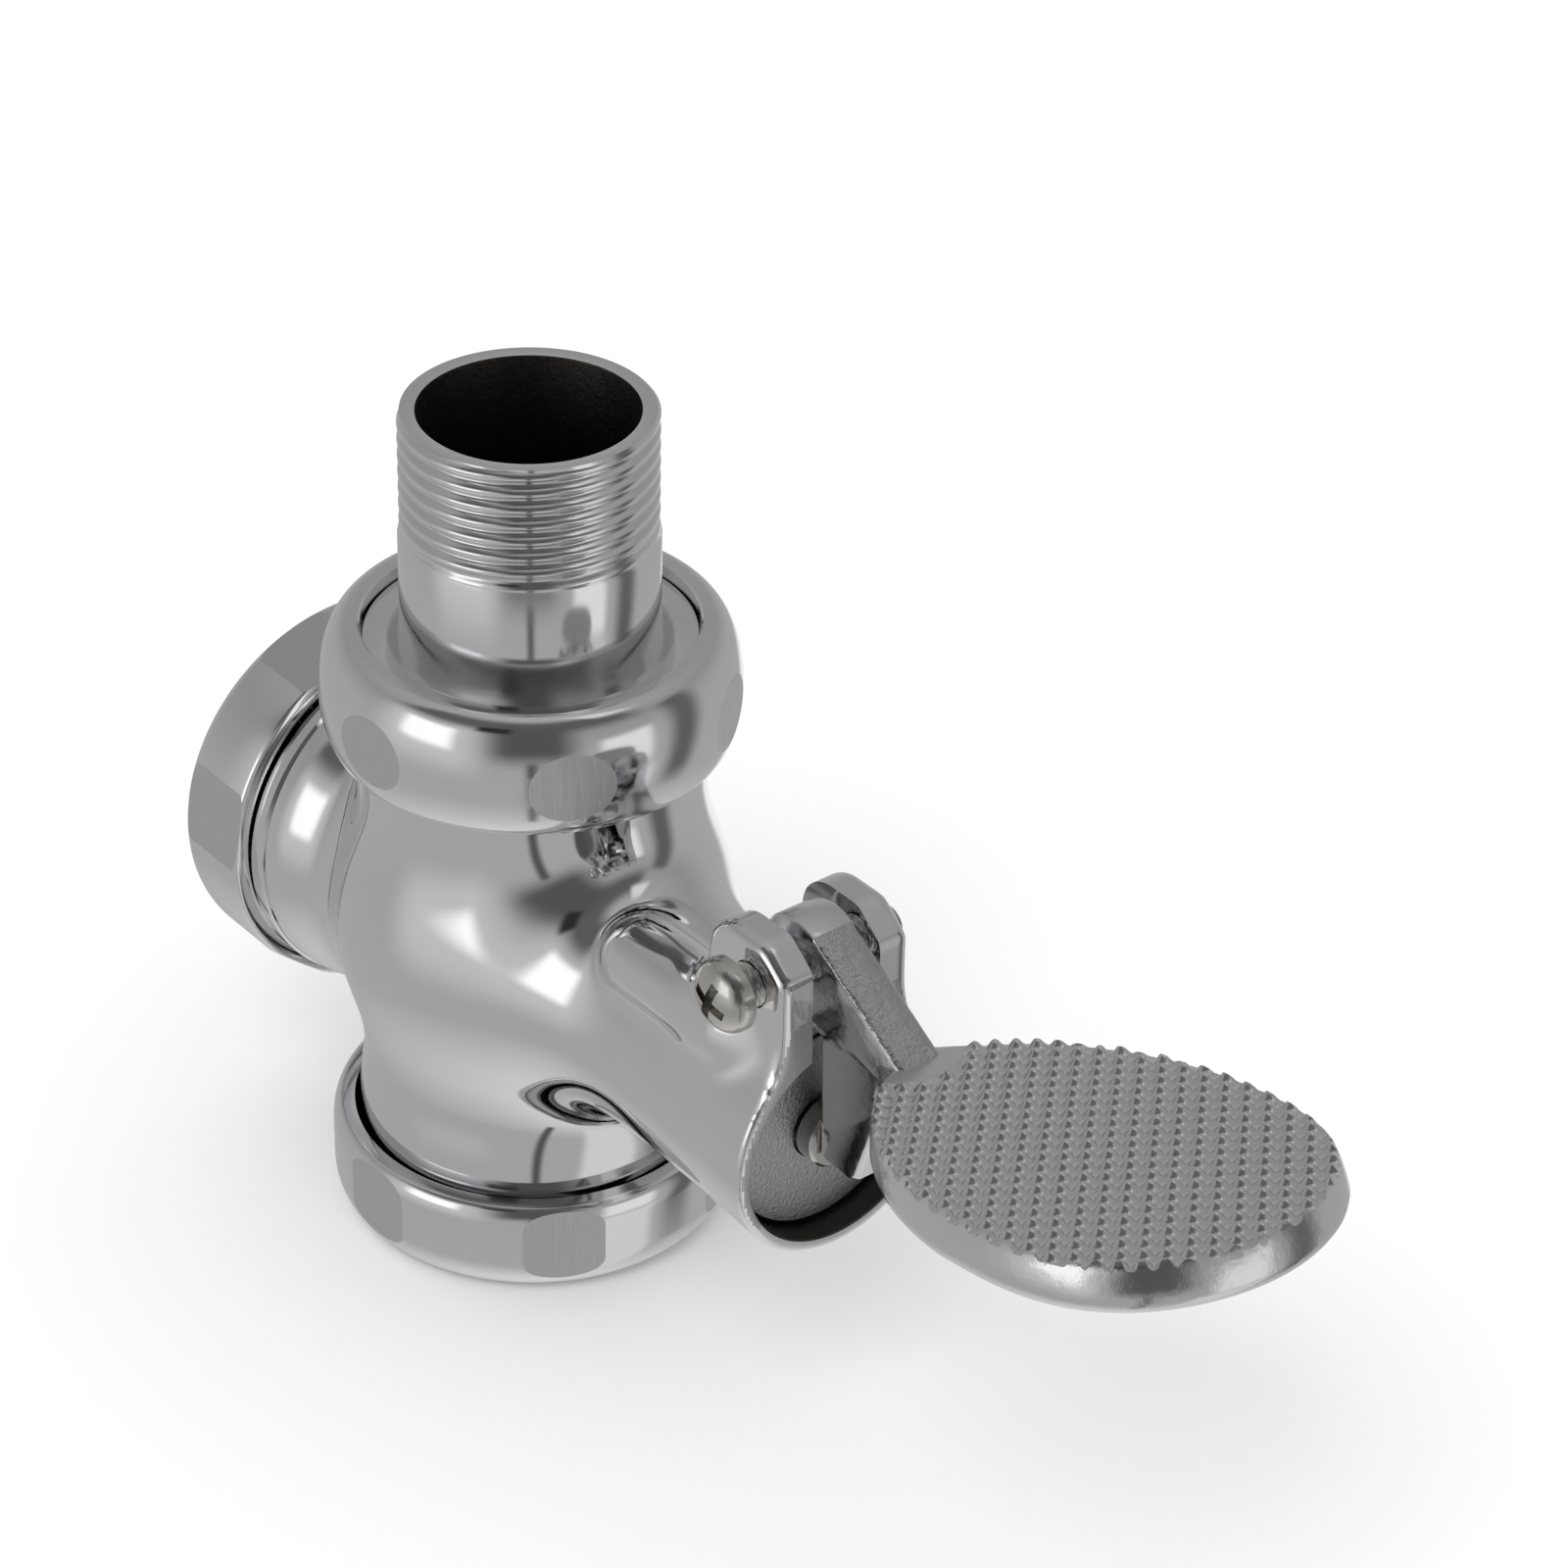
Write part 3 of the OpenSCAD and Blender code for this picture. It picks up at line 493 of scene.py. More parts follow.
def rough_casting():
    bm = bmesh.new()
    bmesh.ops.create_uvsphere(bm, u_segments=64, v_segments=32, radius=BELLY_R * MM,
                              matrix=Matrix.Translation((0, 0, AXIS_Z * MM)))
    cylinder(bm, NECK_R, NECK_LOW, NECK_TOP)
    cylinder(bm, BRANCH_R, SHOULDER_X, 0, "X")
    cylinder(bm, WAIST_R, 0, MOUTH_X, "X", top=HORN_R)
    block(bm, (EAR_REAR_X + 0.8, -EAR_OUT, AXIS_Z), (MOUTH_X, EAR_OUT, EAR_TOP_Z - 0.8))
    bmesh.ops.create_uvsphere(bm, u_segments=32, v_segments=16, radius=BOSS_R * MM,
                              matrix=Matrix.Translation(Vector((BOSS_X[0], BOSS_Y, BOSS_Z)) * MM))
    turn = Matrix.Translation(Vector((sum(BOSS_X) / 2, BOSS_Y, BOSS_Z)) * MM)
    bmesh.ops.create_cone(bm, cap_ends=True, segments=48, radius1=BOSS_R * MM, radius2=BOSS_R * MM,
                          depth=(BOSS_X[1] - BOSS_X[0]) * MM,
                          matrix=turn @ Matrix.Rotation(math.pi / 2, 4, "Y"))
    return piece("casting", bm, polished)


casting = rough_casting()
modified(casting, "REMESH", mode="VOXEL", voxel_size=VOXEL * MM)
settled(casting)
print("casting, remeshed:", triangles(casting), "triangles")

# %% [markdown]
# Sliding is a few steps of Newton's method: each point moves along the slope of the distance by
# the distance itself, until it lies on the blend. Between the steps the squares are evened out
# with the smoothing operator, because a mirror finish shows every bunched-up corner. The list of
# pairs says how often the skin is evened and then how often it slides. Three slow waves go into
# the distance too, as the mop that polished the real casting left them.

# %% Slide the skin onto the blend
RIPPLE = 0.08
WAVES = [((0.21, 0.13, 0.08), 0.4), ((-0.09, 0.24, 0.17), 1.9), ((0.05, -0.16, 0.27), 3.1)]
LONGEST_MOVE = 1.2
EVEN_AND_SLIDE = ((0, 5), (3, 3), (3, 3), (2, 3), (1, 4))


def ripple(p):
    return sum(np.sin(p @ np.array(k) + phase) for k, phase in WAVES) * RIPPLE / len(WAVES)


def slide(points, steps):
    step = 0.01
    for _ in range(steps):
        value = casting_distance(points) + ripple(points)
        slope = np.empty_like(points)
        for axis in range(3):
            nudge = np.zeros(3)
            nudge[axis] = step
            slope[:, axis] = (casting_distance(points + nudge)
                              - casting_distance(points - nudge)) / (2 * step)
        length = np.maximum((slope ** 2).sum(axis=1), 0.05)
        move = (value / length)[:, None] * slope
        points = points - np.clip(move, -LONGEST_MOVE, LONGEST_MOVE)
    return points


def vertices(mesh):
    flat = np.empty(len(mesh.vertices) * 3)
    mesh.vertices.foreach_get("co", flat)
    return flat.reshape(-1, 3) / MM


def evened(mesh, times):
    bm = bmesh.new()
    bm.from_mesh(mesh)
    for _ in range(times):
        bmesh.ops.smooth_vert(bm, verts=bm.verts, factor=0.5, use_axis_x=True, use_axis_y=True,
                              use_axis_z=True)
    bm.to_mesh(mesh)
    bm.free()


def blended(thing):
    for evening, steps in EVEN_AND_SLIDE:
        evened(thing.data, evening)
        moved = slide(vertices(thing.data), steps)
        thing.data.vertices.foreach_set("co", (moved * MM).ravel())
    thing.data.update()
    left = np.abs(casting_distance(vertices(thing.data)) + ripple(vertices(thing.data)))
    print(f"casting: farthest point {left.max():.3f} mm from the blend")


blended(casting)

# %% [markdown]
# The ends of the casting are turned on a lathe after it leaves the mould, and they are crisp
# where the skin is soft. So the shoulder and thread under the cap, and the thread in the outlet
# nut, are spun from their sections and joined on by booleans.

# %% Turned ends of the casting
LOW_END = box_mm("outlet_nut")[1].z - 2.2
THREAD_PITCH = 1.3
CAP_ROOT_R = CAP_THREAD_R - 0.6


def joined(thing, *others):
    for other in others:
        modified(thing, "BOOLEAN", operation="UNION", object=other, solver="MANIFOLD",
                 material_mode="TRANSFER")
        settled(thing)
        bpy.data.objects.remove(other)
    return thing


def thread_rings(low, high, crest, root):
    rows = []
    for i in range(int((high - low) / THREAD_PITCH)):
        z = low + i * THREAD_PITCH
        rows += [(root, z), (crest, z + THREAD_PITCH * 0.42), (crest, z + THREAD_PITCH * 0.58)]
    return rows


shoulder = [(0, BRANCH_X), *thread_rings(BRANCH_X, SHOULDER_X, CAP_THREAD_R, CAP_ROOT_R),
            (CAP_ROOT_R, SHOULDER_X), (SHOULDER_R - 0.3, SHOULDER_X),
            (SHOULDER_R, SHOULDER_X + 0.3), (SHOULDER_R, SHOULDER_X + SHOULDER_W - 0.25),
            (SHOULDER_R - 0.25, SHOULDER_X + SHOULDER_W), (0, SHOULDER_X + SHOULDER_W)]
low_thread = [(0, NECK_LOW), *thread_rings(NECK_LOW, LOW_END, NECK_R + 0.4, NECK_R - 0.1),
              (NECK_R - 0.5, LOW_END), (0, LOW_END)]
joined(casting, piece("shoulder", laid_along_x(spun(shoulder))), piece("thread", spun(low_thread)))
print("casting, with its turned ends:", triangles(casting), "triangles")

# %% [markdown]
# The ways through the casting are bored after the skin is smooth, as the foundry does. From the
# back they are the chamber with its raised seat, the outlet's room, the spring's seat and its
# pocket. From the mouth come the shallow recess, the hole for the pin's head, the rod's guide and
# the seal's groove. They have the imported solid's sizes, and every cutter runs past its opening.

# %% Sections of the ways
CHAMBER_R = 14
SEAT_R = 7.5
SEAT_OUT_R = 8.8
OUTLET_ROOM_R = 9
SPRING_SEAT_R = 4.6
POCKET_R = 6.5
POCKET_X = 40
ROD_R = 2.58
HEAD_HOLE_R = 3.76
RECESS_R = 11.6
RIM_R = 11.9
SEAL_R = 4.4
RUN_PAST = 3
back_way = [(0, BRANCH_X - 1), (CHAMBER_R, BRANCH_X - 1), (CHAMBER_R, 0), (SEAT_OUT_R, 0),
            (SEAT_OUT_R, -1), (SEAT_R, -1), (SEAT_R, 3), (OUTLET_ROOM_R, 3), (OUTLET_ROOM_R, 16),
            (SPRING_SEAT_R, 16), (SPRING_SEAT_R, 20), (POCKET_R, 20), (POCKET_R, POCKET_X),
            (0, POCKET_X)]
mouth_way = [(0, POCKET_X - 0.5), (SEAL_R, POCKET_X - 0.5), (SEAL_R, 42), (ROD_R, 42),
             (ROD_R, 46.2), (HEAD_HOLE_R, 46.2), (HEAD_HOLE_R, FACE_X), (11.0, FACE_X),
             (RECESS_R, FACE_X - 0.5), (RECESS_R, MOUTH_X - 0.35), (RIM_R, MOUTH_X + 0.02),
             (RIM_R, MOUTH_X + RUN_PAST), (0, MOUTH_X + RUN_PAST)]
z_ways = {
    "inlet socket": (12.0, NECK_TOP - 9, NECK_TOP + 1, 0),
    "inlet port": (5.5, AXIS_Z, NECK_TOP - 8.5, -6.2),
    "outlet way": (7.0, NECK_LOW + 5.5, AXIS_Z, 9.0),
    "outlet socket": (16.3, NECK_LOW - 1, NECK_LOW + 6.5, 0)}
print("ways along Z:", list(z_ways))

# %% [markdown]
# The slot between the ears comes first and keeps its polish. The ways follow from the back, from
# the mouth, through the rim under the slot, and from both necks. The pivot's hole is drilled last.
# The boolean hands each cutter's finish to the wall that it leaves, so the ways come out rough.

# %% Bore the casting
BORE_SIDES = 96
PIVOT_HOLE_R = 2.5
PIVOT_HOLE_SIDES = 48


def bored(thing, cutter, finish):
    cutter.data.materials.clear()
    cutter.data.materials.append(finish)
    modified(thing, "BOOLEAN", operation="DIFFERENCE", object=cutter, solver="MANIFOLD",
             material_mode="TRANSFER")
    settled(thing)
    bpy.data.objects.remove(cutter)


def x_cutter(profile):
    return piece("cutter", laid_along_x(spun(profile, BORE_SIDES)))


def z_cutter(radius, low, high, at_x):
    bm = bmesh.new()
    cylinder(bm, radius, low, high)
    bmesh.ops.translate(bm, vec=(at_x * MM, 0, 0), verts=bm.verts)
    return piece("cutter", bm)


def slot_cutter(back, low, high):
    bm = bmesh.new()
    block(bm, (back, -EAR_IN, low), (MOUTH_X + RUN_PAST, EAR_IN, high))
    return piece("cutter", bm)


def across_pivot(bm, quarter=1):
    place = Matrix.Translation(Vector((PIVOT_X, 0, PIVOT_Z)) * MM)
    turn = place @ Matrix.Rotation(quarter * math.pi / 2, 4, "X")
    bmesh.ops.transform(bm, matrix=turn, verts=bm.verts)
    return bm


def pivot_cutter(radius, length):
    bm = bmesh.new()
    bmesh.ops.create_cone(bm, cap_ends=True, segments=PIVOT_HOLE_SIDES, radius1=radius * MM,
                          radius2=radius * MM, depth=length * MM)
    return piece("cutter", across_pivot(bm))


bored(casting, slot_cutter(EAR_REAR_X - 4, SLOT_FLOOR_Z, EAR_TOP_Z + 3), polished)
bored(casting, x_cutter(back_way), rough_cast)
bored(casting, x_cutter(mouth_way), rough_cast)
bored(casting, slot_cutter(FACE_X, AXIS_Z + 8, SLOT_FLOOR_Z + 1), rough_cast)
for way in z_ways.values():
    bored(casting, z_cutter(*way), rough_cast)
bored(casting, pivot_cutter(PIVOT_HOLE_R, 20), polished)
print("casting, bored:", triangles(casting), "triangles")

# %% [markdown]
# After the last cut the casting gets its corners marked again. Two bands get a finish of their own:
# the wall of the recess gets a near-black colour that paints the shade inside it, and the rim and
# the ears' fronts are filed flat.

# %% Finish the casting
RECESS_WALL = (11.05, 11.95)
CORNER = 34


def shaded(thing, degrees):
    bm = bmesh.new()
    bm.from_mesh(thing.data)
    limit = math.radians(degrees)
    for face in bm.faces:
        face.smooth = True
    for edge in bm.edges:
        edge.smooth = edge.calc_face_angle(0) <= limit
    bm.to_mesh(thing.data)
    bm.free()
    return thing


def painted(thing, material, chosen):
    thing.data.materials.append(material)
    index = len(thing.data.materials) - 1
    count = 0
    for face in thing.data.polygons:
        if chosen(face.center / MM, face.normal):
            face.material_index = index
            count += 1
    print(f"{material.name}: {count} faces")


def in_recess(at, facing):
    radius = math.hypot(at.y, at.z - AXIS_Z)
    on_wall = RECESS_WALL[0] < radius < RECESS_WALL[1] and abs(facing.x) < 0.8
    return on_wall and FACE_X - 0.6 < at.x


def on_rim(at, facing):
    return at.x > MOUTH_X - 0.15 and facing.x > 0.93


# Painted shade: the recess wall is coloured near-black.
painted(casting, painted_shade_bore, in_recess)
painted(casting, filed, on_rim)
casting.name = "body_casting"
dress(shaded(casting, CORNER), "valve", "polished_chrome", "valve_body")

# %% [markdown]
# ## The tailpiece and its thread
# The inlet tube carries a G 3/4 pipe thread, 14 threads to the inch. A stack of rings would look
# right from afar and wrong at the run-out, so this is a true helix: the tube is spun with rows
# closer than a twelfth of the pitch, and each point's radius then drops by how deep the groove is
# at its own height and angle. The groove fades out where the die stopped.

# %% Tailpiece with a helical thread
tail_low, tail_high = box_mm("inlet_tailpiece")
THREAD_R = 13.22
THREAD_DEPTH = 0.72
PITCH = 1.814
THREAD_LOW = tail_high.z - 13.8
THREAD_HIGH = tail_high.z
ROW_H = 0.14
RUN_OUT = 1.6 * PITCH
TUBE_R = THREAD_R + 0.18
TUBE_STEPS = 144
BORE_R = 11.3
FLANGE_R = 18.7
COLLAR_R = 17.3


def groove(z, angle):
    turn = z / PITCH - angle / (2 * math.pi)
    shape = (0.5 - 0.5 * math.cos(2 * math.pi * turn)) ** 1.3
    start = min(max((z - THREAD_LOW + 0.2) / RUN_OUT, 0), 1)
    return THREAD_DEPTH * shape * start ** 0.8


def tube_section():
    foot = tail_low.z
    top = THREAD_HIGH - 0.35
    rows = round((top - THREAD_LOW) / ROW_H)
    wall = [(THREAD_R, THREAD_LOW + (top - THREAD_LOW) * i / rows) for i in range(1, rows + 1)]
    return [(BORE_R, foot), (FLANGE_R, foot), (FLANGE_R, foot + 1.6), (COLLAR_R, foot + 1.6),
            (COLLAR_R, foot + 4.3), (COLLAR_R - 0.1, foot + 4.42), (COLLAR_R - 0.3, foot + 4.42),
            (14.85, foot + 4.1), (14.7, foot + 4.0), (14.6, foot + 3.75), (14.55, foot + 3.4),
            (14.3, foot + 3.55), (14.05, foot + 3.95), (13.8, foot + 4.6), (13.6, foot + 5.4),
            (13.48, foot + 6.3), (TUBE_R + 0.02, foot + 7.2), (TUBE_R, foot + 8.2),
            (TUBE_R, THREAD_LOW - 0.25), *wall,
            (THREAD_R - 0.3, THREAD_HIGH), (BORE_R + 0.35, THREAD_HIGH),
            (BORE_R + 0.08, THREAD_HIGH - 0.1), (BORE_R, top)]


def tailpiece():
    bm = spun(tube_section(), TUBE_STEPS)
    for v in bm.verts:
        at = v.co / MM
        radius = math.hypot(at.x, at.y)
        if THREAD_LOW <= at.z < THREAD_HIGH - 0.05 and radius > THREAD_R - 0.3:
            new = radius - groove(at.z, math.atan2(at.y, at.x))
            v.co.x *= new / radius
            v.co.y *= new / radius
    # Painted shade: the bore inside the tube gets the near-black colour.
    for face in bm.faces:
        at = face.calc_center_median() / MM
        if math.hypot(at.x, at.y) < BORE_R + 0.05 and at.z < THREAD_HIGH - 0.2:
            face.material_index = 1
    return piece("threaded_tailpiece", bm, turned_z, painted_shade_bore, sharp=40)


dress(tailpiece(), "valve", "turned_chrome", "inlet_tailpiece")

# %% [markdown]
# ## Nuts and cap
# Both nuts and the cap are turned round and then get shallow wrench flats, so each flat is an
# ellipse where the plane bites the round. The plane cut gives that for nothing: bisect, throw
# the outside away, and fill the open rim with one face that carries the brushed finish.

# %% Union nuts with wrench flats
up_low, up_high = box_mm("inlet_union_nut")
down_low, down_high = box_mm("outlet_nut")
NUT_R = 21.9
THREAD_GAP_R = 19.05
LIP_R = 17.45
PIPE_HOLE_R = 16.3
NUT_STEPS = 160
INLET_FLATS = (NUT_R - 0.48, -25)
OUTLET_FLATS = (NUT_R - 0.45, -28)


def wrench_flats(bm, distance, turn):
    for i in range(6):
        angle = math.radians(turn + 60 * i)
        out = Vector((math.cos(angle), math.sin(angle), 0))
        cut = bmesh.ops.bisect_plane(bm, geom=bm.verts[:] + bm.edges[:] + bm.faces[:],
                                     plane_co=out * distance * MM, plane_no=out, clear_outer=True)
        rim = [e for e in cut["geom_cut"] if isinstance(e, bmesh.types.BMEdge)]
        bmesh.ops.edgeloop_fill(bm, edges=rim, mat_nr=1, use_smooth=False)
    outward(bm)


def finish_borders(thing):
    bm = bmesh.new()
    bm.from_mesh(thing.data)
    for edge in bm.edges:
        if len({face.material_index for face in edge.link_faces}) > 1:
            edge.smooth = False
    bm.to_mesh(thing.data)
    bm.free()
    return thing


def union_nut():
    low, high = up_low.z, up_high.z
    belt = low + (high - low) * 0.46
    profile = [(THREAD_GAP_R, low), (THREAD_GAP_R, high - 4.4), (LIP_R, high - 4.4),
               (LIP_R, high - 0.25), (LIP_R + 0.25, high),
               *arc(18.7, belt, NUT_R - 18.7, high - belt, 90, 0, 16),
               *arc(NUT_R - 2.2, belt, 2.2, belt - low, -6, -90, 12)]
    bm = spun(profile, NUT_STEPS)
    wrench_flats(bm, *INLET_FLATS)
    return finish_borders(piece("inlet_nut_skin", bm, turned_z, flat_z))


def outlet_nut():
    low, high = down_low.z, down_high.z
    profile = [(PIPE_HOLE_R, low), *arc(NUT_R - 3.05, low + 4, 3.05, 4, -90, 0, 14),
               *arc(NUT_R - 1.14, high - 2.6, 1.14, 2.6, 0, 90, 10),
               (THREAD_GAP_R + 0.5, high), (THREAD_GAP_R + 0.3, high - 0.4),
               (THREAD_GAP_R, high - 1.3), (THREAD_GAP_R, low + 2.2), (PIPE_HOLE_R, low + 2.2)]
    bm = spun(profile, NUT_STEPS)
    wrench_flats(bm, *OUTLET_FLATS)
    return finish_borders(piece("outlet_nut_skin", bm, turned_z, flat_z))


dress(union_nut(), "valve", "turned_chrome", "inlet_union_nut")
dress(outlet_nut(), "valve", "turned_chrome", "outlet_nut")

# %% [markdown]
# The back cap is turned about the cross axis, so its section is drawn upright, given its flats,
# and only then laid along X.

# %% Back cap
cap_low, cap_high = box_mm("back_cap")
CAP_R = cap_high.z - AXIS_Z
CAP_ROUND = 2.0
CAP_FLOOR = 3.7
CAP_BORE_R = 18.3
CAP_FLATS = (CAP_R - 0.5, 20)


def back_cap():
    back, rim = cap_low.x, cap_high.x
    edge = arc(CAP_R - CAP_ROUND, back + CAP_ROUND, CAP_ROUND, CAP_ROUND, -90, 0, 14)
    profile = [(0, back), *edge,
               (CAP_R, rim - 0.6), (CAP_R - 0.15, rim - 0.25), (CAP_R - 0.6, rim),
               (CAP_BORE_R + 0.6, rim), (CAP_BORE_R, rim - 0.6), (CAP_BORE_R, back + CAP_FLOOR),
               (0, back + CAP_FLOOR)]
    bm = spun(profile, NUT_STEPS)
    wrench_flats(bm, *CAP_FLATS)
    return finish_borders(piece("back_cap_skin", laid_along_x(bm), turned_x, flat_x))


dress(back_cap(), "valve", "turned_chrome", "back_cap")

# %% [markdown]
# ## The pedal
# Arm, web and foot plate are one casting. The plate is the piece that a foot meets, so its studs
# are real geometry: a fine grid whose points rise by a formula, one rounded hill per cell of a
# lattice that is turned by 45 degrees. The hills sink where the arm's collar runs out over them.

# %% Studs of the foot plate
PLATE_LEN = 51.6
PLATE_W = 37.6
PLATE_T = 5.2
PLATE_TILT = math.radians(11)
PLATE_AT = (PIVOT_X + 14.7, PIVOT_Z - 3.2)
STUD_PITCH = 2.05
STUD_H = 0.95
STUD_SQUARENESS = 2.4
STUD_FOOT = 1.02
STUD_SUNK = 0.35
STUD_CELLS = 10


def stud_height(a, b, u, v):
    a = abs(a / STUD_PITCH - round(a / STUD_PITCH)) * 2
    b = abs(b / STUD_PITCH - round(b / STUD_PITCH)) * 2
    slope = (a ** STUD_SQUARENESS + b ** STUD_SQUARENESS) ** (1 / STUD_SQUARENESS)
    hill = 0.5 + 0.5 * math.cos(math.pi * min(slope / STUD_FOOT, 1))
    free = min(max((math.hypot(u * 0.9, v * 0.75) - 4.2) / 0.8, 0), 1)
    return STUD_H * (STUD_SUNK + (hill - STUD_SUNK) * free)


def studded_slab():
    bm = bmesh.new()
    reach = math.ceil((PLATE_LEN + PLATE_W) / 2 / math.sqrt(2) / STUD_PITCH) + 1
    cells = 2 * reach * STUD_CELLS
    bmesh.ops.create_grid(bm, x_segments=cells, y_segments=cells, size=reach * STUD_PITCH)
    for v in bm.verts:
        a, b = v.co.x, v.co.y
        u, w = (a + b) / math.sqrt(2) + PLATE_LEN / 2, (b - a) / math.sqrt(2)
        v.co = Vector((u, w, stud_height(a, b, u, w) - STUD_H)) * MM
    outward(bm)
    outside = [v for v in bm.verts if abs(v.co.x / MM - PLATE_LEN / 2) > PLATE_LEN / 2 + 1
               or abs(v.co.y / MM) > PLATE_W / 2 + 1]
    bmesh.ops.delete(bm, geom=outside, context="VERTS")
    shell = bmesh.ops.extrude_face_region(bm, geom=bm.faces[:])
    for v in [g for g in shell["geom"] if isinstance(g, bmesh.types.BMVert)]:
        v.co.z = -(PLATE_T + 1) * MM
    outward(bm)
    return piece("studs", bm, satin_cast)


studs = studded_slab()
print("slab of studs:", triangles(studs), "triangles")

# %% [markdown]
# The plate's edge is a rounded egg that narrows towards its foot, as a stack of outlines bridged
# into a blank. A boolean keeps what lies inside both blank and slab, which leaves the jagged rim
# of cut studs that the real plate has.

# %% Foot plate
EGG_SIDES = 160
EGG_BLUNT = 1.05
EGG_POINT = 0.76
EGG_WIDTH = 0.98
EGG_SWELL = 0.13
EGG_ROWS = [
    (1.1, 1.1, 1.1, -5.2), (0.5, 0.5, 0.5, -4.97), (0.1, 0.12, 0.15, -4.45), (0, 0, 0, -3.8),
    (0.1, 0.25, 0.2, -2.6), (0.2, 0.5, 0.45, -1.5), (0.35, 0.75, 0.75, -0.7),
    (0.55, 1.05, 1.1, -0.25), (0.8, 1.4, 1.5, 0.1), (1.3, 1.9, 2.1, 0.8)]


def egg_outline(back, tip, side):
    length, width = PLATE_LEN - back - tip, PLATE_W - 2 * side
    for i in range(EGG_SIDES):
        c = math.cos(2 * math.pi * i / EGG_SIDES)
        s = math.sin(2 * math.pi * i / EGG_SIDES)
        half = abs(s) ** EGG_BLUNT * (EGG_WIDTH + EGG_SWELL * c)
        along = c if c < 0 else c ** EGG_POINT
        yield back + length / 2 * (1 + along), width / 2 * math.copysign(half, s)


def egg_blank():
    bm = bmesh.new()
    loops = []
    for back, tip, side, height in EGG_ROWS:
        outline = egg_outline(back, tip, side)
        ring = [bm.verts.new((u * MM, w * MM, height * MM)) for u, w in outline]
        loops.append([bm.edges.new((a, b)) for a, b in zip(ring, ring[1:] + ring[:1])])
    for low, high in zip(loops, loops[1:]):
        bmesh.ops.bridge_loops(bm, edges=low + high)
    for cap in (loops[0], loops[-1]):
        bmesh.ops.edgeloop_fill(bm, edges=cap)
    outward(bm)
    return piece("foot_plate", bm, cast_wall)


def tilted(thing):
    place = Matrix.Translation(Vector((PLATE_AT[0], 0, PLATE_AT[1])) * MM)
    thing.data.transform(place @ Matrix.Rotation(-PLATE_TILT, 4, "Y"))
    return thing


def foot_plate():
    plate = egg_blank()
    modified(plate, "BOOLEAN", operation="INTERSECT", object=studs, solver="MANIFOLD",
             material_mode="TRANSFER")
    settled(plate)
    bpy.data.objects.remove(studs)
    return tilted(plate)


plate = foot_plate()
print("foot plate:", triangles(plate), "triangles")

# %% [markdown]
# The arm and its web are a flat plate seen from the side: a face in outline, pulled to its
# thickness and bevelled round both sides. The upper edge leaves the hub along its tangent, and
# the nose at the web's lower end is what pushes the pin. Faces that look up get a rougher grain.

# %% Arm and web
ARM_T = 5.2
ARM_ROUND = 0.55
HUB_R = 5.3
ARM_DROP = STUD_H + 0.1
NOSE_X = pin_high.x + 0.1
NOSE_Z = AXIS_Z - 1.4
NEAR_NOUGHT = 0.1 * MM
ACROSS = 1
UPRIGHT = 2


def arm_outline():
    joint = Vector((PLATE_AT[0] + 3, PLATE_AT[1] - ARM_DROP))
    reach = joint - Vector((PIVOT_X, PIVOT_Z))
    touch = math.atan2(reach.y, reach.x) + math.acos(HUB_R / reach.length)
    under = PLATE_AT[1] - PLATE_T + 0.3
    return [(PIVOT_X, PIVOT_Z),
            (PIVOT_X + HUB_R * math.cos(touch), PIVOT_Z + HUB_R * math.sin(touch)),
            tuple(joint), (joint.x, under), (PLATE_AT[0] - 1.2, under - 3.0),
            (NOSE_X + 5.8, NOSE_Z + 0.6), (NOSE_X + 4.6, NOSE_Z), (NOSE_X, NOSE_Z),
            (NOSE_X, NOSE_Z + 2.8), (NOSE_X - 0.3, PIVOT_Z - HUB_R - 1),
            (PIVOT_X + 0.3, PIVOT_Z - HUB_R)]


def pulled(bm, ring, along, end):
    made = bmesh.ops.extrude_face_region(bm, geom=[bm.faces.new(ring)])
    for v in [g for g in made["geom"] if isinstance(g, bmesh.types.BMVert)]:
        v.co[along] = end * MM
    outward(bm)


def bevelled(bm, along, width, segments):
    rims = [e for e in bm.edges if abs((e.verts[0].co - e.verts[1].co)[along]) < NEAR_NOUGHT]
    bmesh.ops.bevel(bm, geom=rims, offset=width * MM, offset_type="OFFSET", segments=segments,
                    profile=0.5, affect="EDGES", material=-1, clamp_overlap=True)


def arm_and_web():
    bm = bmesh.new()
    ring = [bm.verts.new((x * MM, -ARM_T / 2 * MM, z * MM)) for x, z in arm_outline()]
    pulled(bm, ring, ACROSS, ARM_T / 2)
    bevelled(bm, ACROSS, ARM_ROUND, 3)
    for face in bm.faces:
        face.material_index = 1 if face.normal.z > 0.6 and face.calc_area() > 4 * MM * MM else 0
    return piece("arm", bm, cast_wall, cast_arm)


arm = arm_and_web()
print("arm and web:", triangles(arm), "triangles")

# %% [markdown]
# The hub is a short drum round the pivot screw. The collar is the flared end of the arm that runs
# out over the plate, drawn as half an outline and mirrored.

# %% Hub and collar
HUB_STEPS = 96
HUB_EDGE = 0.6
COLLAR_SIDE = [(-4.5, 2.45), (-3.2, 2.5), (-2.2, 2.75), (-1.3, 3.2), (-0.4, 3.95), (0.5, 5.0),
               (1.7, 6.1), (5.0, 6.6)]
COLLAR_LOW = -3.0
COLLAR_TOP = -0.75
COLLAR_ROUND = 0.9


def hub():
    half = [(HUB_R, ARM_T / 2 - HUB_EDGE), (HUB_R - 0.17, ARM_T / 2 - 0.17),
            (HUB_R - HUB_EDGE, ARM_T / 2), (0, ARM_T / 2)]
    profile = [(r, -h) for r, h in reversed(half)] + half
    return piece("hub", across_pivot(spun(profile, HUB_STEPS)), satin_cast)


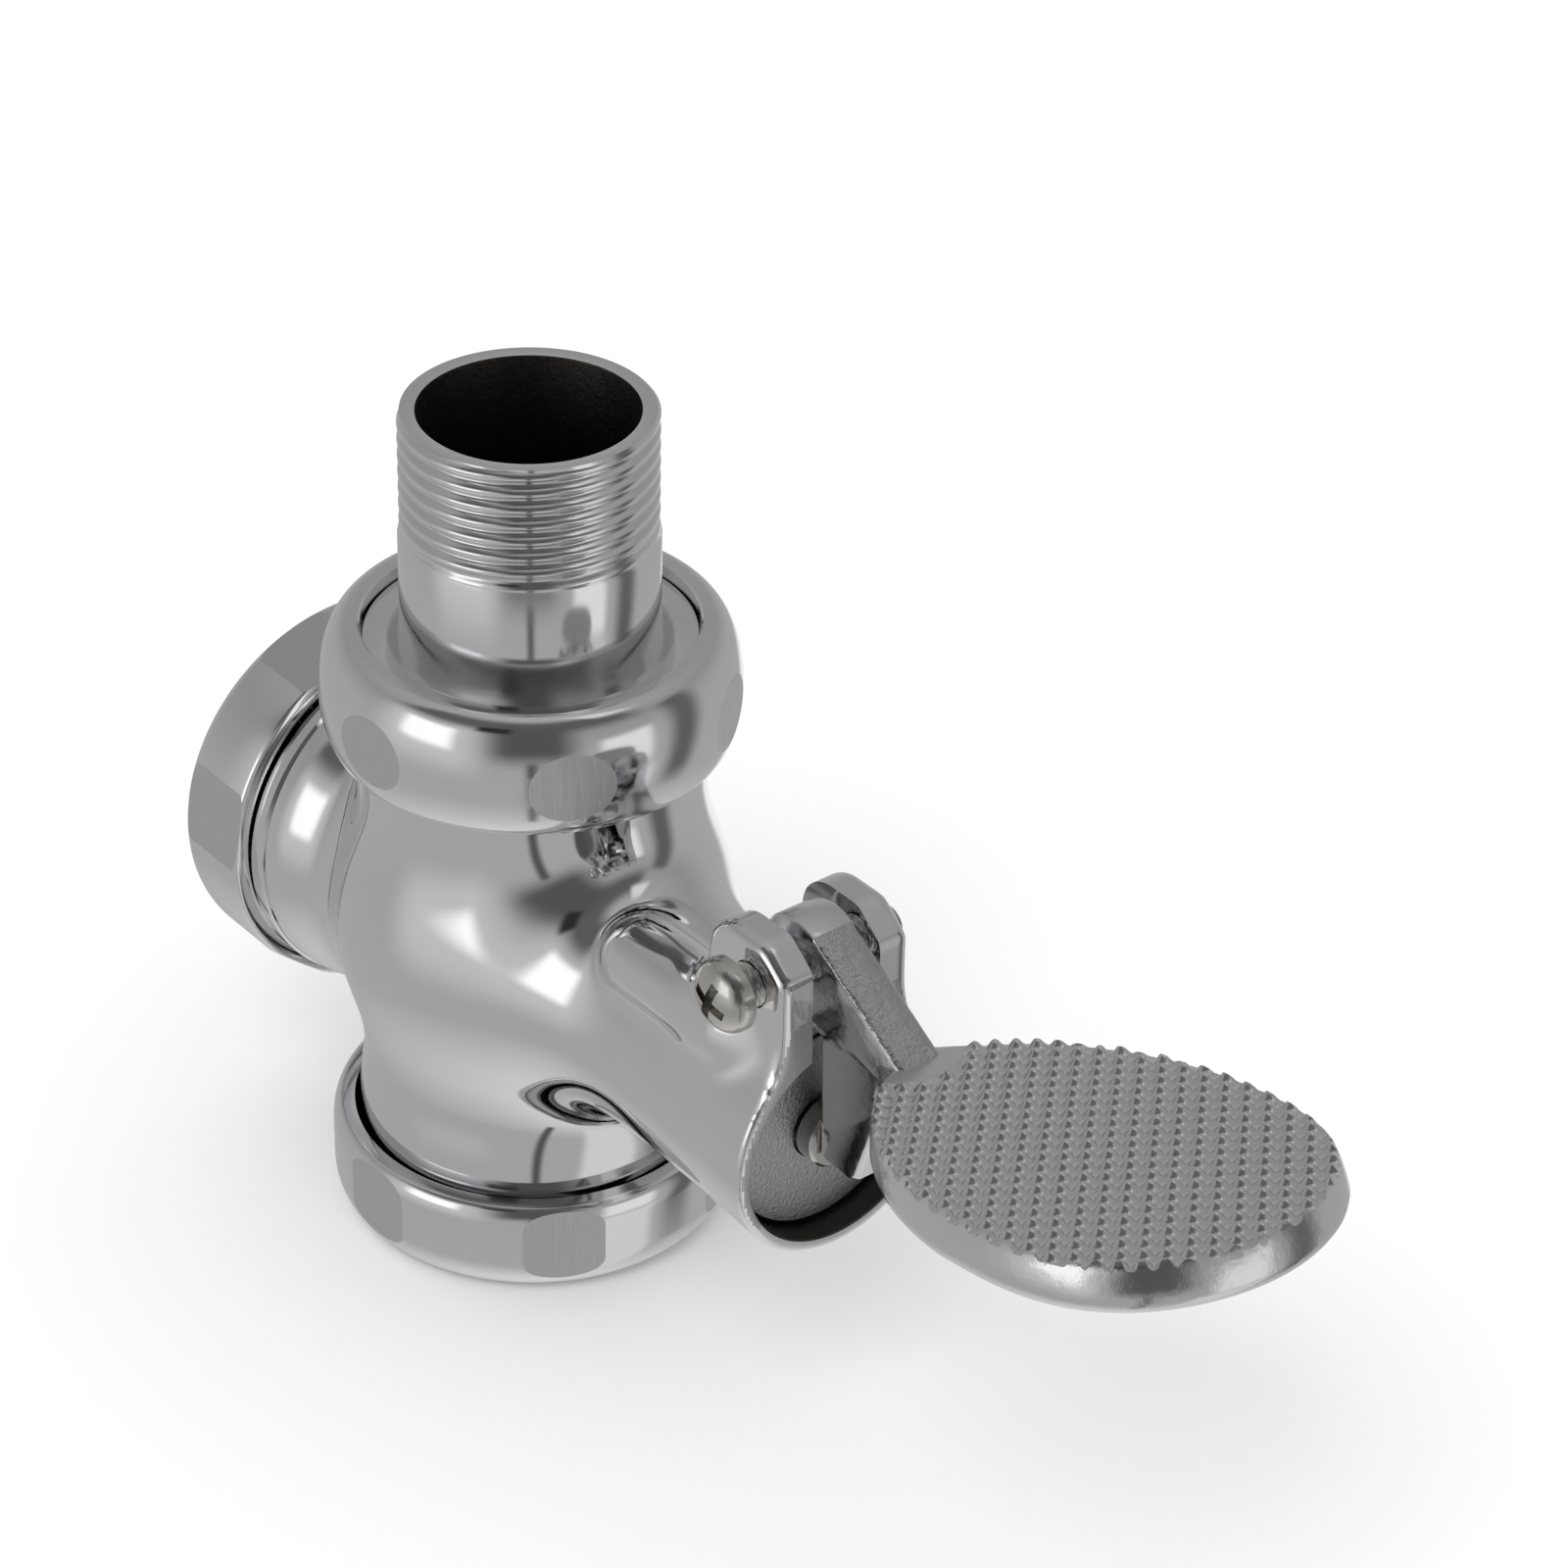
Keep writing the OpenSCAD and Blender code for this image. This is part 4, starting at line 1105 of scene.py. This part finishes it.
def collar():
    bm = bmesh.new()
    outline = COLLAR_SIDE + [(u, -v) for u, v in reversed(COLLAR_SIDE)]
    ring = [bm.verts.new((u * MM, v * MM, COLLAR_LOW * MM)) for u, v in outline]
    pulled(bm, ring, UPRIGHT, COLLAR_TOP)
    bevelled(bm, UPRIGHT, COLLAR_ROUND, 4)
    return tilted(piece("collar", bm, satin_cast))


pedal = joined(arm, hub(), collar(), plate)
print("pedal, joined:", triangles(pedal), "triangles")

# %% [markdown]
# The hole for the screw goes through the hub, which turns on it with a hair of play.

# %% Pivot hole and dress of the pedal
PEDAL_HOLE_R = 2.48
PEDAL_CORNER = 30

bored(pedal, pivot_cutter(PEDAL_HOLE_R, 12), satin_cast)
pedal.name = "foot_pedal"
dress(shaded(pedal, PEDAL_CORNER), "pedal", "cast_chrome", "pedal")

# %% [markdown]
# ## What stays as it is
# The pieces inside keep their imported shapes. They still get real finishes, because they show
# when the valve is opened: brass, rubber and steel wire.

# %% Finishes of the inner pieces
def plain_metal(name, colour, rough):
    made, tree, shader, place = metal(name, colour, rough)
    marks = noise(tree, place, 2400, 3)
    blur = spread(tree, marks, 0.3, 0.7, rough * 0.7, rough * 1.4)
    wired(tree, shader, blur, bumped(tree, marks, 0.01 * MM, 0.5))
    return made


def rubber():
    made, tree, shader, place = metal("black_rubber", (0.028, 0.028, 0.03), 0.6)
    shader.inputs["Metallic"].default_value = 0
    skin = noise(tree, place, 1800, 3)
    blur = spread(tree, skin, 0.3, 0.7, 0.5, 0.72)
    wired(tree, shader, blur, bumped(tree, skin, 0.02 * MM, 0.6))
    return made


nickel = plain_metal("nickel_steel", (0.62, 0.60, 0.57), 0.16)
wire = plain_metal("drawn_wire", (0.45, 0.46, 0.48), 0.25)
brass = plain_metal("machined_brass", (0.72, 0.50, 0.22), 0.22)
black = rubber()
INNER = {
    nickel: ("push_pin", "pin_collar"),
    wire: ("return_spring", "pilot_spring", "pin_spring"),
    brass: ("piston", "disc_retainer", "pilot_valve", "rod_bush", "outlet_slip_washer"),
    black: ("inlet_washer", "outlet_seal_ring", "cap_seal_ring", "piston_cup_seal", "seat_disc",
            "pilot_seal", "rod_seal")}
for finish, names in INNER.items():
    for name in names:
        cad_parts[name].data.materials.clear()
        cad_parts[name].data.materials.append(finish)
print("inner pieces:", sum(len(names) for names in INNER.values()))

# %% [markdown]
# A spring can't ride on a moving body, because one of its ends stays where it is. Each of the
# three springs is listed with its joint and its travel, and here each only gets a mesh of its own.
# The pilot's spring is listed with both strokes, of 6 and 2.6 mm.

# %% Give each spring its own mesh
SPRINGS = {"pin_spring": ("pin_slide", 2.6), "return_spring": ("piston_slide", 6.0),
           "pilot_spring": ("piston_slide", 8.6)}


def shortened(spring):
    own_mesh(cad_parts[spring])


for spring, (joint, travel) in SPRINGS.items():
    shortened(spring)

# %% [markdown]
# ## The pivot screw
# A pan-head screw goes through both ears and the hub. Its head stands a little off the ear, so
# bare thread shows. Its helix is sunk into a turned shank in the same way as the pipe thread.

# %% Pivot screw
screw_low, screw_high = box_mm("pivot_screw")
SHANK_R = 2.4
SCREW_PITCH = 0.8
SCREW_DEPTH = 0.32
SCREW_ROW = 0.1
SCREW_STEPS = 72
HEAD_R = 3.9
HEAD_H = 3.2
HEAD_RIM = 0.9
UNDER_HEAD = -(EAR_OUT + 2.2)


def screw_section():
    tip = screw_high.y
    rows = round((tip - 0.6 - UNDER_HEAD) / SCREW_ROW)
    shank = [(SHANK_R, UNDER_HEAD + (tip - 0.6 - UNDER_HEAD) * i / rows) for i in range(1, rows)]
    dome_arc = arc(0, -UNDER_HEAD + HEAD_RIM, HEAD_R, HEAD_H - HEAD_RIM, 0, 90, 14)
    return [(0, tip), (SHANK_R - 0.5, tip), (SHANK_R - 0.1, tip - 0.5), *reversed(shank),
            (SHANK_R, UNDER_HEAD), (HEAD_R - 0.15, UNDER_HEAD), (HEAD_R, UNDER_HEAD - 0.15),
            *[(r, -h) for r, h in dome_arc]]


def pivot_screw():
    bm = spun(screw_section(), SCREW_STEPS)
    for v in bm.verts:
        at = v.co / MM
        radius = math.hypot(at.x, at.y)
        if UNDER_HEAD + 0.1 < at.z < screw_high.y - 0.1 and radius > SHANK_R - 0.2:
            turn = at.z / SCREW_PITCH - math.atan2(at.y, at.x) / (2 * math.pi)
            depth = SCREW_DEPTH * (0.5 - 0.5 * math.cos(2 * math.pi * turn))
            v.co.xy *= (radius - depth) / radius
    return piece("cross_head_screw", across_pivot(bm, -1), nickel, sharp=40)


screw = pivot_screw()
print("screw:", triangles(screw), "triangles")

# %% [markdown]
# The cross recess is cut by two thin blocks at right angles, turned as the screw happened to stop.

# %% Cross recess of the screw
RECESS_HALF = (2.2, 0.55)
RECESS_DEPTH = 1.5
RECESS_TURN = -20


def cross_recess(turn):
    bm = bmesh.new()
    half_x, half_y = RECESS_HALF
    block(bm, (-half_x, -half_y, -RECESS_DEPTH), (half_x, half_y, 3))
    place = Matrix.Translation(Vector((PIVOT_X, screw_low.y, PIVOT_Z)) * MM)
    turned = Matrix.Rotation(math.pi / 2, 4, "X") @ Matrix.Rotation(math.radians(turn), 4, "Z")
    bmesh.ops.transform(bm, matrix=place @ turned, verts=bm.verts)
    return piece("cutter", bm)


for recess_turn in (RECESS_TURN, RECESS_TURN + 90):
    bored(screw, cross_recess(recess_turn), nickel)
dress(shaded(screw, 40), "valve", "nickel_steel", "pivot_screw")

# %% [markdown]
# ## The studio
# Chrome shows its room, so the room is the last and most important finish. The floor is plain
# and pale, and a key lamp and an even world give it one soft shadow. Neither is seen by mirror-like
# rays: what the chrome mirrors is a big dome that only such rays see.

# %% Floor and world
FLOOR_HALF = 3
FLOOR_GREY = 0.93


def floor_finish():
    made = bpy.data.materials.new("pale_floor")
    made.use_nodes = True
    shader = made.node_tree.nodes["Principled BSDF"]
    shader.inputs["Base Color"].default_value = (FLOOR_GREY, FLOOR_GREY, FLOOR_GREY, 1)
    shader.inputs["Roughness"].default_value = 0.9
    shader.inputs["Specular IOR Level"].default_value = 0.1
    return made


def floor():
    bm = bmesh.new()
    bmesh.ops.create_grid(bm, x_segments=1, y_segments=1, size=FLOOR_HALF)
    made = piece("floor", bm, floor_finish())
    made.data.transform(Matrix.Translation((0, 0, -0.05 * MM)))
    made.visible_glossy = False


floor()
world = bpy.data.worlds.new("studio")
world.use_nodes = True
world.node_tree.nodes["Background"].inputs["Color"].default_value = (1, 1, 1, 1)
world.node_tree.nodes["Background"].inputs["Strength"].default_value = 1.0
bpy.context.scene.world = world
bpy.context.scene.view_settings.view_transform = "Standard"
print("floor half as wide as", FLOOR_HALF, "m; view transform Standard")

# %% [markdown]
# The key lamp is a disk of nearly a metre, high up and to the camera's left, aimed at the outlet.

# %% Key lamp
KEY_AT = Vector((0.5, -0.9, 1.4))
KEY_SIZE = 0.9
KEY_POWER = 7

key = bpy.data.lights.new("key", "AREA")
key.shape = "DISK"
key.size = KEY_SIZE
key.energy = KEY_POWER
key_lamp = bpy.data.objects.new("key", key)
key_lamp.location = KEY_AT
key_lamp.rotation_euler = (-KEY_AT).to_track_quat("-Z", "Y").to_euler()
key_lamp.visible_glossy = False
bpy.context.scene.collection.objects.link(key_lamp)
print("key lamp:", KEY_POWER, "W from", [round(x, 1) for x in KEY_AT], "m")

# %% [markdown]
# The dome is one sphere whose glow is worked out from the direction it is seen in: its azimuth
# and elevation in degrees. It starts as a plain grey that brightens towards the floor, and each
# soft box or dark flag is then a patch with a centre, a half width and height, and a soft edge.
# A patch this soft gives the long fades that a mirror-like casting needs, where a hard card
# would print its own outline on every bulge.

# %% Patches of the dome
PATCHES = {
    "white soft box": ((-92, 12), (13, 13), 5, 1.25),
    "glow round it": ((-92, 8), (22, 22), 16, 0.62),
    "narrow soft box": ((14, -6), (13, 14), 5, 0.85),
    "bright table in front": ((12, -44), (18, 18), 6, 0.72),
    "dark gap in the table": ((-36, -34), (2, 26), 3, 0.10),
    "bright table behind": ((128, -30), (10, 7), 7, 0.95),
    "lamp overhead": ((32, 68), (16, 8), 9, 0.75),
    "room behind the camera": ((-36, 22), (18, 24), 14, 0.10),
    "its dark doorway": ((-58, 38), (9, 5), 4, 0.03),
    "dark side wall": ((50, -2), (7, 34), 9, 0.13),
    "upper wall": ((-45, 51), (72, 13), 14, 0.12),
}
ORDER = ("upper wall", "room behind the camera", "dark side wall", "glow round it",
         "its dark doorway", "dark gap in the table", "bright table in front",
         "bright table behind", "lamp overhead", "narrow soft box", "white soft box")
GROUND = ((0.0, 0.80), (0.12, 0.68), (0.28, 0.44), (0.5, 0.42), (0.68, 0.32))
ZENITH = 0.45
print("patches, from the lowest layer up:", ORDER)

# %% [markdown]
# A patch's share is the product of two soft steps, one for each angle, and azimuth wraps round at
# 180 degrees. Both angles come from the direction in which the dome is seen.

# %% How much of a direction a patch covers
def maths(tree, operation, *values):
    inputs = dict(enumerate(values))
    return add(tree, "ShaderNodeMath", inputs, operation=operation).outputs[0]


def angles(tree):
    place = add(tree, "ShaderNodeTexCoord").outputs["Object"]
    way = add(tree, "ShaderNodeVectorMath", {0: place}, operation="NORMALIZE").outputs["Vector"]
    parts = add(tree, "ShaderNodeSeparateXYZ", {"Vector": way}).outputs
    azimuth = maths(tree, "DEGREES", maths(tree, "ARCTAN2", parts["Y"], parts["X"]))
    elevation = maths(tree, "DEGREES", maths(tree, "ARCSINE", parts["Z"]))
    return azimuth, elevation


def nearness(tree, off, half, edge):
    return add(tree, "ShaderNodeMapRange", {
        "Value": maths(tree, "ABSOLUTE", off), "From Min": float(half - edge / 2),
        "From Max": float(half + edge), "To Min": 1.0, "To Max": 0.0},
        interpolation_type="SMOOTHSTEP").outputs["Result"]


def patch_share(tree, azimuth, elevation, centre, half, edge):
    aside = maths(tree, "SUBTRACT", azimuth, float(centre[0]))
    aside = maths(tree, "WRAP", aside, 180.0, -180.0)
    above = maths(tree, "SUBTRACT", elevation, float(centre[1]))
    return maths(tree, "MULTIPLY", nearness(tree, aside, half[0], edge),
                 nearness(tree, above, half[1], edge))


print("dome helpers: maths, angles, nearness, patch_share")

# %% [markdown]
# The grey of the ground goes in first and the patches are mixed over it, one after the other. The
# sphere that carries this glow is left out of everything but mirror-like rays, so it neither
# lights the floor nor shows behind the valve.

# %% The dome that the chrome mirrors
DOME_R = 2.6


def ground_grey(tree, elevation):
    level = add(tree, "ShaderNodeValToRGB", {"Fac": spread(tree, elevation, -90, 90, 0, 1)})
    ramp = level.color_ramp
    for place_at, grey in GROUND:
        stop = ramp.elements[0] if place_at == 0 else ramp.elements.new(place_at)
        stop.color = (grey, grey, grey, 1)
    ramp.elements[-1].color = (ZENITH, ZENITH, ZENITH, 1)
    return add(tree, "ShaderNodeSeparateXYZ", {"Vector": level.outputs["Color"]}).outputs["X"]


def dome_light():
    made = bpy.data.materials.new("dome")
    made.use_nodes = True
    tree = made.node_tree
    tree.nodes.clear()
    azimuth, elevation = angles(tree)
    grey = ground_grey(tree, elevation)
    for name in ORDER:
        centre, half, edge, bright = PATCHES[name]
        share = patch_share(tree, azimuth, elevation, centre, half, edge)
        over = {"Factor": share, "A": grey, "B": bright}
        grey = add(tree, "ShaderNodeMix", over).outputs["Result"]
    light = add(tree, "ShaderNodeEmission", {"Color": (1, 1, 1, 1), "Strength": grey})
    out = add(tree, "ShaderNodeOutputMaterial")
    tree.links.new(light.outputs["Emission"], out.inputs["Surface"])
    return made


def dome():
    bm = bmesh.new()
    bmesh.ops.create_icosphere(bm, subdivisions=5, radius=DOME_R)
    made = piece("dome", bm, dome_light())
    made.visible_camera = False
    made.visible_diffuse = False
    made.visible_shadow = False
    made.visible_transmission = False


dome()
print("dome of", DOME_R, "m with", len(PATCHES), "patches")
